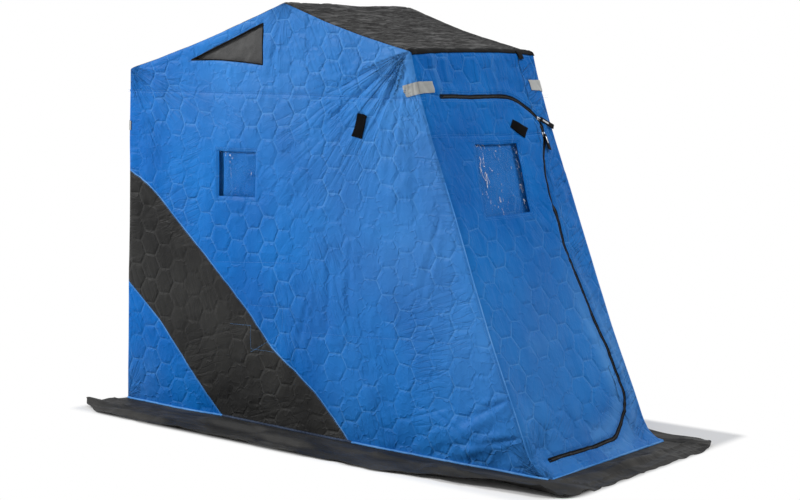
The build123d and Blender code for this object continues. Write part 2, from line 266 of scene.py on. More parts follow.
# %% [markdown]
# ## Folds
#
# Cloth that is stretched by hand is never flat. Its unevenness has three sizes: broad bulges between the poles,
# long creases that run from the points that pull, and small rumples. All of them come from one kind of smooth
# noise with a fixed seed, stretched in the direction in which the cloth is pulled, and from single creases.
# A faint drift of the whole hut, the same for all its pieces, keeps its edges from being ruler straight.

# %% Noise and creases
noise_table = np.random.default_rng(11).uniform(-1, 1, (64, 64, 64))


def rumple(points, size, seed=0):
    """Smooth noise between -1 and 1 over 2 or 3 coordinates, with bumps of about that size."""
    points = np.asarray(points, float) / np.asarray(size, float)
    if points.shape[1] == 2:
        points = np.column_stack([points, np.full(len(points), 0.37)])
    points = points + seed * np.array([17.31, 9.77, 5.13])
    cell = np.floor(points).astype(int)
    part = points - cell
    part = part**3 * (part * (part * 6 - 15) + 10)
    total = np.zeros(len(points))
    for corner in np.ndindex(2, 2, 2):
        weight = np.prod(np.where(corner, part, 1 - part), axis=1)
        i, j, k = ((cell + corner) % 64).T
        total += weight * noise_table[i, j, k]
    return total


def sharp(points, size, seed=0):
    """Noise with narrow ridges, as in crumpled cloth: 1 on a ridge, and near 0 away from it."""
    return (1 - np.abs(rumple(points, size, seed))) ** 4


def crease(points, start, end, width, depth, bow=0.0):
    """One crease, deepest near its start, with a soft ridge along each side. It may bow sideways."""
    start, end = np.array(start), np.array(end)
    run = end - start
    length = np.hypot(*run)
    share = (points - start) @ run / length**2
    side = ((points - start) @ np.array([-run[1], run[0]])) / length - bow * 4 * share * (1 - share)
    spread = width * (0.5 + 1.1 * np.clip(share, 0, 1))
    strength = rise(-0.04, 0.05, share) * (1 - rise(0.35, 1.0, share)) * depth
    valley = np.exp(-np.abs(side) / (0.55 * spread))
    ridges = bell(np.abs(side) - 1.9 * spread, spread)
    return strength * (0.45 * ridges - valley)


def fan(points, corner, reach, depth, spread, seed):
    """Creases that run out from a corner which pulls the cloth, and die away at about that reach."""
    away = points - np.array(corner)
    radius = np.hypot(*away.T)
    polar = np.column_stack([np.arctan2(away[:, 1], away[:, 0]) / spread, radius / (1.4 * reach)])
    lines = 0.35 - sharp(polar, 1.0, seed) - 0.5 * sharp(polar * (2.1, 1.6), 1.0, seed + 1)
    return depth * lines * np.exp(-radius / reach) * rise(0.0, 0.10, radius)


def spokes(points, corner, reach, strength):
    """A pull from one point: places across and along it, and how strong it is there."""
    away = points - np.array(corner)
    radius = np.hypot(*away.T)
    return np.arctan2(away[:, 1], away[:, 0]) * 0.75, radius, strength * np.exp(-radius / reach)


def strongest(pulls):
    """The strongest of several pulls at each point. It fades out where the next one is as strong."""
    pulls = np.stack([np.stack(np.broadcast_arrays(*pull), axis=1) for pull in pulls])
    order = np.argsort(pulls[:, :, 2], axis=0)
    top = np.take_along_axis(pulls, order[-1:, :, None], axis=0)[0]
    second = np.take_along_axis(pulls[:, :, 2], order[-2:-1], axis=0)[0]
    top[:, 2] *= rise(0.08, 0.40, 1 - second / np.maximum(top[:, 2], 1e-6))
    return top


def drift(points):
    """How the whole hut leans and wavers: a small shift of any point in space."""
    shift = [0.0022 * rumple(points, 0.30, s) + 0.0011 * rumple(points, 0.12, s + 4) for s in (1, 2, 3)]
    shift = np.stack(shift, axis=1)
    shift[:, 2] *= rise(0.0, 0.25, points[:, 2])
    return shift * rise(-0.02, 0.12, points[:, 2])[:, None]


# %% [markdown]
# ## Quilting
#
# The shell is three layers, sewn together along regular hexagons 100 mm high, and the filling puffs each cell a
# little. Two staggered grids of rectangles hold the middles of all the cells, so a cell's edge is where the
# nearer of the two grids is farthest. The same few operations draw the pattern here, in the geometry tree and
# in the cloth's finish, so they are written once, for plain numbers and for node sockets alike.

# %% The distance to the nearest line of quilting
cell_height = 0.100
column = cell_height * math.sqrt(3) / 2
puff = 0.0028


def to_quilting(across, up, fold, greater, lesser):
    """How far a point is from the quilting. fold is a triangle wave; greater and lesser pick one of two values."""
    x = fold(across, column)
    y = fold(up, cell_height / 2)
    slant = math.sqrt(3) / 2
    first = greater(y, x * slant + y * 0.5)
    other_x, other_y = column - x, cell_height / 2 - y
    second = greater(other_y, other_x * slant + other_y * 0.5)
    return cell_height / 2 - lesser(first, second)


def ping_pong(value, top):
    """A triangle wave between 0 and top."""
    return top - np.abs(np.mod(value, 2 * top) - top)


def puffed(across, up):
    """How far a cell stands out from the cloth at that place."""
    gap = to_quilting(across, up, ping_pong, np.maximum, np.minimum)
    return puff * (0.75 * rise(0, 0.014, gap) + 0.25 * rise(0, cell_height / 2, gap))


middle_puff = float(puffed(np.array([0.0]), np.array([0.0]))[0])
print("quilting stands out by", round(middle_puff * 1000, 2), "mm in a cell's middle")

# %% [markdown]
# ## Walls
#
# A wall knows where its flat cloth lies in space, how it bulges, and where it is sewn. Anything on the wall, such
# as a seam, a patch or the zip, asks the wall for its place, so that it lies on the folds. Two walls meet at a
# rounded corner: each covers one half of the round, and the bulges fade out there so that the seams meet.

# %% The two kinds of wall
corner_radius = 0.011
corner_inset = corner_radius * (1 - math.sqrt(0.5))
corner_zone = 3 * corner_radius


class Wall:
    """A length of cloth with its own flat coordinates.

    It is made from a flat point near its middle, the lines along which it is sewn or only pinned down, and three
    rules: how far it swells, which way it is pulled, and how much painted light pales it. Its fullness is how far
    the filling puffs up, against the usual.
    """

    fullness = 1.0

    def __init__(self, middle, seams, pins, swell, pull, painted_light, seed):
        self.pull = pull
        self.painted_light = painted_light
        self.seams = [thin(np.asarray(line, float), 0.0003) for line in seams]
        self.pins = [thin(np.asarray(line, float), 0.0003) for line in pins]
        self.swell = swell
        self.seed = seed
        self.middle = np.array(middle)

    def quilt_places(self, flat):
        """Where a point of the cloth falls in the quilting pattern, which the stretching pulls out of true."""
        pull = np.stack([rumple(flat, 0.22, self.seed + 20), rumple(flat, 0.22, self.seed + 21)], axis=1)
        twist = np.stack([rumple(flat, 0.085, self.seed + 22), rumple(flat, 0.085, self.seed + 23)], axis=1)
        return flat + 0.0075 * pull + 0.0040 * twist + np.array([0.013, 0.021]) * self.seed

    def loft(self, flat, edge):
        """1 where the filling can puff up, and 0 where the cloth is sewn down."""
        gap = np.minimum(edge, 1.0)
        for line in self.seams + self.pins:
            gap = np.minimum(gap, nearest(flat, line)[0])
        slack = rise(-0.5, 0.45, rumple(flat, 0.24, self.seed + 8))
        return self.fullness * rise(0.002, 0.018, gap) * (0.30 + 0.70 * slack)

    def place(self, flat, lift=0.0, quilted=True):
        """The point in space of each flat point, lifted off the cloth by lift."""
        flat = np.asarray(flat, float).reshape(-1, 2)
        points, normals, edge = self.lay(flat)
        height = self.swell(flat, edge) + lift
        height -= 0.0022 * sum(bell(nearest(flat, line)[0], 0.006) for line in self.seams)
        if quilted:
            height = height + self.loft(flat, edge) * puffed(*self.quilt_places(flat).T)
        points = points + normals * height[:, None]
        return points + drift(points)

    def outward(self, flat):
        """The direction that faces away from the hut, at each flat point."""
        flat = np.asarray(flat, float).reshape(-1, 2)
        step = 0.003 * np.where(flat > self.middle, -1, 1)
        here = self.place(flat, quilted=False)
        along = self.place(flat + step * (1, 0), quilted=False) - here
        up = self.place(flat + step * (0, 1), quilted=False) - here
        normal = np.cross(along, up)
        normal /= np.linalg.norm(normal, axis=1)[:, None]
        return normal * np.sign((normal * self.lay(flat)[1]).sum(axis=1))[:, None]


def rounded_edge(gap):
    """What a corner's round does at that distance from the corner: a shift along the wall, and one into the hut."""
    inward = corner_inset * (1 - np.clip(gap / corner_zone, 0, 1))
    left = corner_radius - np.clip(gap + inward, 0, corner_radius)
    return inward, corner_radius - np.sqrt(np.maximum(corner_radius**2 - left**2, 0))


class SideWall(Wall):
    """A side wall. Its flat coordinates are the distance from the rear wall and the height."""

    def __init__(self, side, *rest):
        super().__init__(*rest)
        self.side = side

    def lay(self, flat):
        """Places in space before any fold, the wall's outward direction there, and the distance to its edge."""
        gap, _, normal, _ = nearest(flat, side_outline)
        inward, deep = rounded_edge(gap)
        moved = flat - normal * inward[:, None]
        out = self.side * (half - deep)
        points = np.column_stack([rear_x + moved[:, 0], out, moved[:, 1]])
        return points, np.tile([0.0, self.side, 0.0], (len(flat), 1)), gap


class BandWall(Wall):
    """A part of the band over the hut. Its flat coordinates are the distance across and along the profile."""

    def lay(self, flat):
        """Places in space before any fold, the band's outward direction there, and the distance to its edge."""
        gap = half - np.abs(flat[:, 0])
        inward, deep = rounded_edge(gap)
        at = follow(flat[:, 1], profile_run, profile)
        normal = follow(flat[:, 1], profile_run, profile_normal)
        at = at - normal * deep[:, None]
        across = flat[:, 0] - np.sign(flat[:, 0]) * inward
        points = np.column_stack([rear_x + at[:, 0], across, at[:, 1]])
        return points, np.column_stack([normal[:, 0], np.zeros(len(flat)), normal[:, 1]]), gap


# %% [markdown]
# ## Seams and openings
#
# The side wall has a seam under its top panel, and a dark sash that slants down to the hem between two more
# seams. The vent is a triangle of mesh under the roof, and the window is a small pane. On the front wall the
# zip goes along the top of the door, down its right edge and back along the hem, in one smooth line.

# %% Lines on the side walls
side_seam = np.array([(0.045, 1.307), (0.80, 1.300), (1.635, 1.292)])
sash_top = soften([(0.030, 0.984), (0.163, 0.924), (0.465, 0.675), (0.768, 0.423), (0.862, 0.318), (1.099, 0.170),
                   (1.302, -0.011)], 0.02)
sash_foot = soften([(0.012, 0.512), (0.216, 0.357), (0.395, 0.178), (0.528, 0.049), (0.597, -0.012)], 0.02)
vent_tip, vent_high, vent_low = (0.428, 1.433), (0.836, 1.572), (0.834, 1.412)
vent_foot = sagging(vent_low, vent_tip, -0.008)[1:-1]
vent_outline = np.vstack([even([vent_tip, vent_high], 0.05), even([vent_high, vent_low], 0.05)[1:], vent_foot])
pane_outline = np.array([(0.588, 1.077), (0.789, 1.078), (0.776, 0.898), (0.579, 0.895)])
pocket_lines = [np.array(line) for line in (
    [(0.644, 0.386), (0.757, 0.390), (0.755, 0.297), (0.876, 0.299)],
    [(0.758, 0.473), (0.932, 0.482), (0.926, 0.380), (0.755, 0.285)],
    [(0.551, 0.628), (1.019, 0.657)],
    [(1.017, 0.393), (1.837, 0.434)],
)]

# %% Lines on the front wall
zip_places = [(-0.300, 1.2995), (-0.206, 1.298), (-0.093, 1.296), (0.075, 1.296), (0.143, 1.291), (0.213, 1.262),
              (0.287, 1.211), (0.301, 1.164), (0.244, 1.034), (0.222, 0.941), (0.217, 0.865), (0.217, 0.718),
              (0.251, 0.546), (0.292, 0.342), (0.296, 0.216), (0.294, 0.160), (0.277, 0.132), (0.220, 0.085),
              (0.141, 0.045), (-0.011, 0.041), (-0.300, 0.047)]
piping_places = [(0.340, 1.170), (0.295, 1.104), (0.279, 1.032), (0.280, 0.900), (0.289, 0.667), (0.321, 0.466),
                 (0.345, 0.280), (0.364, 0.126), (0.372, 0.050)]


def on_front(places, radius=0.014):
    """A smooth line on the front wall, from distances across and heights."""
    return soften(front_flat(places), radius)


zip_line = on_front(zip_places, 0.017)
strip_seam = on_front(piping_places)
door_outline = zip_line[zip_line[:, 0] > hinge_y]
door_outline = np.vstack([(hinge_y, door_outline[0, 1]), door_outline, (hinge_y, door_outline[-1, 1])])
door_seam = on_front([(hinge_y, 1.158), (0.310, 1.147)])
door_pane = np.array(front_flat([(-0.150, 1.125), (0.109, 1.120), (0.065, 0.869), (-0.203, 0.870)]))
hinge_line = np.array(front_flat([(hinge_y, 1.299), (hinge_y, 0.047)]))
brow_line = np.array([(-half, brow_run), (half, brow_run)])
print("zip", round(float(lengths(zip_line)[-1]), 2), "m long")


# %% [markdown]
# Each fold below has a cause. The bow at the top of the front wall pulls a fan of creases across the side. The
# hem is wider than its floor line, so it bellies outwards and crumples near the corner. The vent's lower edge is
# gathered, and short puckers hang below it.

# %% Folds of the side walls
front_corner = (1.556, 1.462)
# Each crease is its start (the front corner, for those of the fan), its end, width, depth and sideways bow.
fan_ends = [
    ((1.128, 1.294), 0.012, 0.0060, 0.004),
    ((1.023, 1.093), 0.012, 0.0075, -0.006),
    ((1.120, 1.010), 0.010, 0.0050, 0.006),
    ((1.251, 0.952), 0.010, 0.0060, 0.008),
    ((1.175, 0.741), 0.013, 0.0055, -0.008),
    ((0.700, 0.640), 0.020, 0.0060, 0.014),
    ((1.400, 0.800), 0.012, 0.0035, 0.006),
]
side_creases = [
    ((0.948, 1.640), (0.780, 1.080), 0.014, 0.0030, 0.004),
    ((0.060, 1.395), (0.420, 1.020), 0.013, 0.0035, 0.006),
    ((1.170, 0.700), (1.120, 0.150), 0.022, 0.0050, 0.010),
    ((1.280, 0.760), (1.270, 0.260), 0.020, 0.0040, -0.008),
    ((1.060, 0.520), (0.930, 0.060), 0.020, 0.0040, 0.006),
    ((0.100, 0.960), (0.420, 0.300), 0.018, 0.0045, 0.012),
    ((1.700, 0.880), (1.560, 0.420), 0.016, 0.0035, 0.008),
    ((2.060, 0.130), (1.700, 0.060), 0.014, 0.0070, 0.010),
    ((2.020, 0.260), (1.760, 0.110), 0.014, 0.0070, -0.008),
    ((1.700, 0.170), (1.930, 0.030), 0.012, 0.0060, 0.006),
]


def not_deeper(height, limit=-0.002):
    """Keeps the hollows shallow, since the bows stand close behind the cloth."""
    return np.where(height < limit, limit + 0.12 * (height - limit), height)


def side_swell(seed):
    """The bulges of one side wall."""

    def swell(flat, edge):
        """How far the cloth stands out at each flat point."""
        d, z = flat[:, 0], flat[:, 1]
        fade = rise(0.0, 0.04, edge)
        height = 0.0060 * rumple(flat, 0.34, seed) + 0.0032 * rumple(flat, 0.13, seed + 1)
        height += 0.0014 * rumple(flat, 0.055, seed + 2)
        uneven = rise(-0.3, 0.5, rumple(flat, 0.30, seed + 9))
        large_ridges = 0.0030 * sharp(flat, 0.15, seed + 3) * uneven
        height += large_ridges + 0.0020 * sharp(flat, 0.062, seed + 10) * (1 - 0.6 * uneven)
        front_fan = fan(flat, front_corner, 0.42, 0.0075, 0.085, seed + 11)
        height += front_fan + fan(flat, (0.06, 1.40), 0.45, 0.0055, 0.13, seed + 12)
        ridge_fan = fan(flat, (0.945, 1.65), 0.28, 0.0040, 0.16, seed + 13)
        height += ridge_fan + fan(flat, (0.0, 0.0), 0.16, 0.0040, 0.2, seed + 14)
        for end, width, depth, bow in fan_ends:
            height += crease(flat, front_corner, end, width, depth, bow)
        for start, end, width, depth, bow in side_creases:
            height += crease(flat, start, end, width, depth, bow)
        hem = np.exp(-z / 0.09)
        height += hem * (0.011 + 0.007 * rumple(flat, (0.24, 9.0), seed + 4))
        corner = bell(d - 1.83, 0.20) * bell(z - 0.09, 0.10)
        corner *= rise(0.0, 0.05, z)
        height += corner * (0.010 * rumple(flat @ ((1.0, -0.5), (0.4, 1.0)), (0.10, 0.042), seed + 5) + 0.012)
        near_front = np.exp(-edge / 0.09) * rise(0.62, 0.75, z) * (1 - rise(1.05, 1.25, z))
        height += near_front * 0.0045 * rumple(flat, (0.16, 0.032), seed + 6)
        pucker = rise(0.42, 0.50, d) * (1 - rise(0.80, 0.86, d)) * bell(z - 1.378, 0.034)
        height += pucker * 0.0034 * rumple(flat, (0.018, 0.11), seed + 7)
        for outline in (vent_outline, pane_outline):
            height -= 0.0016 * bell(nearest(flat, closed(outline))[0], 0.009)
        return not_deeper(height) * fade

    return swell


def side_pull(flat, edge):
    """Which way the cloth of a side wall is pulled, as places across and along the pull, and how hard."""
    d, z = flat.T
    near_front = np.exp(-edge / 0.07) * rise(0.50, 0.65, z) * (1 - rise(1.15, 1.25, z))
    bearing = np.degrees(np.arctan2(front_corner[1] - z, front_corner[0] - d))
    ways = 0.35 + 0.65 * rise(-0.2, 0.4, rumple(bearing[:, None] * (0.1, 0.0), 1.0, 90))
    slanting = rise(14, 24, bearing) * (1 - rise(62, 76, bearing)) * ways
    rear_bearing = np.degrees(np.arctan2(1.43 - z, d - 0.02))
    slanting_rear = rise(8, 22, rear_bearing) * (1 - rise(58, 74, rear_bearing))
    return strongest([
        spokes(flat, front_corner, 0.55, 1.25 * slanting),
        spokes(flat, (0.02, 1.43), 0.50, 1.05 * slanting_rear),
        spokes(flat, ridge, 0.20, 0.4),
        spokes(flat, (0.0, 0.0), 0.25, 0.8),
        spokes(flat, toe, 0.20, 1.1),
        (z, d, 0.8 * near_front),
        (d + 0.45 * z, z, 0.50 * rise(-0.2, 0.5, rumple(flat, 0.25, 91))),
        (z - 0.3 * d, d, 0.50 * rise(-0.1, 0.6, rumple(flat, 0.25, 92))),
    ])


def side_painted_light(flat):
    """Painted light on a side wall: painted paler high up, towards the front and at the heel, as if lit, with random
    patches.
    """
    d, z = flat.T
    heel = bell(d, 0.40) * bell(z, 0.30)
    pale = 0.13 + 0.20 * (d - 1) + 0.20 * (z - 0.8) + 0.28 * heel + 0.10 * rumple(flat, 0.3, 93)
    return np.clip(pale, 0, 1)


# %% Folds of the front wall
front_creases = [
    ((-0.375, 0.060), (-0.160, 0.180), 0.013, 0.0060, 0.006),
    ((-0.370, 0.120), (-0.250, 0.330), 0.012, 0.0050, -0.006),
    ((0.300, 0.110), (0.120, 0.260), 0.013, 0.0045, 0.008),
    ((0.230, 0.900), (0.020, 0.640), 0.016, 0.0040, -0.010),
    ((0.240, 0.700), (0.060, 0.520), 0.014, 0.0035, 0.006),
    ((-0.150, 0.860), (-0.230, 0.560), 0.014, 0.0030, 0.006),
    ((0.310, 1.200), (0.160, 1.000), 0.012, 0.0040, 0.006),
    ((0.020, 0.860), (-0.060, 0.540), 0.014, 0.0030, -0.006),
]
front_creases = [(*on_front([start, end])[[0, -1]], *rest) for start, end, *rest in front_creases]


def front_swell(flat, edge):
    """The bulges of the front wall."""
    y, s = flat[:, 0], flat[:, 1]
    fade = rise(0.0, 0.04, edge)
    height = 0.0042 * rumple(flat, 0.24, 31) + 0.0030 * rumple(flat, 0.09, 32) + 0.0012 * rumple(flat, 0.045, 33)
    height += 0.0022 * sharp(flat, 0.085, 38) + 0.0030 * rumple(flat, (0.045, 0.26), 39)
    header = 1 - down_front(s, 1.335, 1.27)
    height += header * (0.0050 * rumple(flat, (0.036, 0.22), 34) + 0.0040 * sharp(flat, (0.07, 0.26), 35))
    strip = rise(0.0, 0.03, y - 0.20) * (1 - header)
    height += strip * 0.0026 * rumple(flat, (0.05, 0.045), 36)
    for start, end, width, depth, bow in front_creases:
        height += crease(flat, start, end, width, depth, bow)
    foot = rise(toe_run - 0.24, toe_run - 0.05, s)
    height += foot * 0.0055 * sharp(flat, (0.075, 0.05), 37) * rise(-0.1, 0.2, -y)
    to_zip = nearest(flat, zip_line)[0]
    height += 0.0032 * bell(to_zip - 0.026, 0.014) - 0.0018 * bell(to_zip, 0.010)
    height -= 0.0020 * bell(y - hinge_y, 0.006) * (1 - header)
    height -= 0.0016 * bell(nearest(flat, closed(door_pane))[0], 0.009)
    from_hinge = np.abs(y - hinge_y)
    height = not_deeper(height) * (0.3 + 0.7 * np.maximum(rise(0.015, 0.07, from_hinge), header))
    height -= 0.011 * bell(from_hinge, 0.050) * down_front(s, 0.42, 0.22)
    return height * fade * (1 - rise(toe_run - 0.03, toe_run, s) * 0.8) * rise(-0.01, 0.035, s - brow_run)


def front_pull(flat, edge):
    """Which way the cloth of the front wall is pulled: down at the top, and sideways beside the zip."""
    y, s = flat.T
    top = 1 - down_front(s, 1.25, 1.10)
    strip = rise(0.0, 0.04, y - 0.24)
    foot = rise(toe_run - 0.22, toe_run - 0.08, s)
    return strongest([
        (y, 0.6 * s, 0.20 + 0.40 * top),
        (s + 0.5 * y, y, 1.1 * strip),
        spokes(flat, (-half, toe_run - 0.02), 0.30, 0.9),
        spokes(flat, (half, toe_run - 0.02), 0.20, 1.2),
        (y + 0.5 * s, s, 0.6 * foot),
        (y - 0.5 * s, s, 0.55 * rise(0.0, 0.5, rumple(flat, 0.22, 94))),
    ])


def front_painted_light(flat):
    """Painted light on the front wall: darkest under the roof, painted paler at its foot, beside the zip and on the
    crests of its wrinkles, with random patches.
    """
    to_zip = nearest(flat, zip_line)[0]
    foot = down_front(flat[:, 1], 1.05, 0.25)
    band = bell(to_zip - 0.045, 0.035) * down_front(flat[:, 1], 0.75, 0.45)
    header = 1 - down_front(flat[:, 1], 1.335, 1.27)
    crests = header * rise(0.1, 1.0, rumple(flat, (0.036, 0.22), 34)) + 0.45 * rise(0.2, 1.2, rumple(flat, 0.09, 32))
    pale = 0.20 * foot + 0.30 * band * (flat[:, 0] > 0) + 0.06 * rumple(flat, 0.2, 95) + 0.26 * crests
    return np.clip(pale, 0, 1)


# %% Folds of the roof and the rear wall


def joined(flat, run):
    """0 where two lengths of the band are sewn together, so that they meet, and 1 away from there."""
    return rise(0.0, 0.045, np.abs(flat[:, 1] - run))


def roof_swell(flat, edge):
    """The roof is pulled lengthwise, so its small wrinkles run from side to side."""
    fade = rise(0.0, 0.05, edge)
    height = 0.0040 * rumple(flat, 0.26, 41) + 0.0022 * rumple(flat, (0.11, 0.028), 42)
    height += 0.0016 * rumple(flat, (0.06, 0.017), 43)
    return height * fade * joined(flat, top_run) * joined(flat, brow_run)


def rear_swell(flat, edge):
    """The rear wall bellies out a little at the hem."""
    height = 0.0060 * rumple(flat, 0.30, 51) + 0.0030 * rumple(flat, 0.12, 52) + 0.0024 * sharp(flat, 0.14, 53)
    height += 0.006 * np.exp(-flat[:, 1] / 0.10)
    return height * rise(0.0, 0.05, edge) * joined(flat, top_run)


def band_pull(flat, edge):
    """The roof and the rear wall are pulled lengthwise."""
    return np.column_stack([flat[:, 0], flat[:, 1], 0.35 + 0.4 * np.exp(-edge / 0.08)])


def band_painted_light(flat):
    """The roof and the rear wall get an even amount of painted light."""
    return np.full(len(flat), 0.25)


rear_seam = np.array([(-half, run_at((0.05, 1.307))), (half, run_at((0.05, 1.307)))])
side_seams = [side_seam, sash_top, sash_foot, closed(vent_outline), closed(pane_outline)]
left_wall = SideWall(-1, (1.0, 0.8), side_seams, pocket_lines, side_swell(1), side_pull, side_painted_light, 1)
right_wall = SideWall(1, (1.0, 0.8), side_seams, pocket_lines, side_swell(60), side_pull, side_painted_light, 2)
front_wall = BandWall((0.0, (brow_run + toe_run) / 2), [zip_line, door_seam, closed(door_pane)],
                      [strip_seam, hinge_line, brow_line], front_swell, front_pull, front_painted_light, 3)
front_wall.fullness = 1.6
roof_wall = BandWall((0.0, ridge_run), [brow_line], [], roof_swell, band_pull, band_painted_light, 4)
rear_wall = BandWall((0.0, top_run / 2), [rear_seam], [], rear_swell, band_pull, band_painted_light, 5)

# %% [markdown]
# ## Recipes for nodes
#
# Materials and geometry trees are both node trees, and most of their nodes are sums. A small class wraps a
# socket, so that such a sum is written as an ordinary expression, and one method adds every other kind of node.

# %% Node recipes


class Wire:
    """A node's socket that takes part in arithmetic: each operator adds the Math node that does it."""

    def __init__(self, recipe, socket):
        self.recipe = recipe
        self.socket = socket

    def math(self, operation, *others):
        """Adds one Math node for this value and the others."""
        values = dict(enumerate((self, *others)))
        return self.recipe.node("ShaderNodeMath", {"operation": operation}, values)

    def __add__(self, other):
        return self.math("ADD", other)

    def __sub__(self, other):
        return self.math("SUBTRACT", other)

    def __rsub__(self, other):
        return self.recipe.node("ShaderNodeMath", {"operation": "SUBTRACT"}, {0: other, 1: self})

    def __mul__(self, other):
        return self.math("MULTIPLY", other)

    def __truediv__(self, other):
        return self.math("DIVIDE", other)

    def __pow__(self, other):
        return self.math("POWER", other)

    __radd__ = __add__
    __rmul__ = __mul__

    def ping_pong(self, top):
        """A triangle wave between 0 and top."""
        return self.math("PINGPONG", top)

    def maximum(self, other):
        """The greater of the two."""
        return self.math("MAXIMUM", other)

    def minimum(self, other):
        """The lesser of the two."""
        return self.math("MINIMUM", other)

    def step_up(self, start, end, low=0.0, high=1.0):
        """Goes smoothly from low to high while this value goes from start to end."""
        sockets = {0: self, 1: start, 2: end, 3: low, 4: high}
        return self.recipe.node("ShaderNodeMapRange", {"interpolation_type": "SMOOTHSTEP"}, sockets)


class Recipe:
    """Adds nodes to a tree and joins them up."""

    def __init__(self, tree):
        self.tree = tree

    def feed(self, socket, value):
        """Joins a wire to a socket, or gives the socket a plain value."""
        if isinstance(value, Wire):
            self.tree.links.new(value.socket, socket)
        elif value is not None:
            socket.default_value = value

    def node(self, kind, settings=None, sockets=None, out=0):
        """Adds one node. Its settings come first, then the values or wires of its sockets; out picks its output."""
        node = self.tree.nodes.new(kind)
        for name, value in (settings or {}).items():
            setattr(node, name, value)
        for name, value in (sockets or {}).items():
            self.feed(node.inputs[name], value)
        return Wire(self, node.outputs[out])

    def axes(self, vector):
        """The three parts of a vector."""
        node = self.tree.nodes.new("ShaderNodeSeparateXYZ")
        self.feed(node.inputs[0], vector)
        return [Wire(self, socket) for socket in node.outputs]

    def spot(self):
        """The place in the object's own coordinates."""
        return self.node("ShaderNodeTexCoord", {}, {}, out=3)

    def carried(self, name, out):
        """What the mesh carries under that name: its colour, vector or number, by output."""
        return self.node("ShaderNodeAttribute", {"attribute_name": name}, {}, out=out)

    def scaled(self, vector, factors):
        """A vector with each of its parts multiplied."""
        return self.node("ShaderNodeVectorMath", {"operation": "MULTIPLY"}, {0: vector, 1: factors})

    def noise(self, vector, scale, detail=2.0, rough=0.5, kind="FBM"):
        """Soft noise around 0.5, with so many bumps in each metre."""
        sockets = {"Vector": vector, "Scale": scale, "Detail": detail, "Roughness": rough}
        return self.node("ShaderNodeTexNoise", {"noise_type": kind}, sockets)

    def folds(self, vector, scale, narrow, detail):
        """1 along the lines where cloth is creased, and 0 between them."""
        level = self.noise(vector, scale, detail, 0.5)
        return (1 - (level - 0.5).math("ABSOLUTE") * narrow * 2).maximum(0.0) ** 2.0

    def mix(self, factor, first, second):
        """Mixes two colours."""
        return self.node("ShaderNodeMix", {"data_type": "RGBA"}, {0: factor, 6: first, 7: second}, out=2)

    def bump(self, height, distance, strength=1.0, normal=None):
        """Small relief on the finish: its height runs from 0 to 1, and the distance is its depth in metres."""
        sockets = {"Height": height, "Distance": distance, "Strength": strength, "Normal": normal}
        return self.node("ShaderNodeBump", {}, sockets)


def color(red, green, blue):
    """A colour from its 0 to 255 screen values, in the linear light that shaders use."""
    parts = [v / 255 for v in (red, green, blue)]
    return (*[v / 12.92 if v <= 0.04045 else ((v + 0.055) / 1.055) ** 2.4 for v in parts], 1.0)


def seen_directly(recipe):
    """1 for what the camera sees, also in a shiny surface or through film, and 0 for light that falls on things."""
    rays = recipe.tree.nodes.new("ShaderNodeLightPath").outputs
    plain, mirrored, through = [Wire(recipe, rays[f"Is {kind} Ray"]) for kind in ("Camera", "Glossy", "Transmission")]
    return plain.maximum(mirrored).maximum(through)


def finish_named(name):
    """A new material: its recipe and its main shader."""
    material = bpy.data.materials.new(name)
    material.use_nodes = True
    shader = material.node_tree.nodes["Principled BSDF"]
    return material, Recipe(material.node_tree), shader


def quilting_gap(recipe):
    """How far a point of the cloth is from the nearest line of quilting, from the flat places it carries."""
    place = recipe.carried("quilt", 1)
    across, up, _ = recipe.axes(place)
    return place, to_quilting(across, up, Wire.ping_pong, Wire.maximum, Wire.minimum)
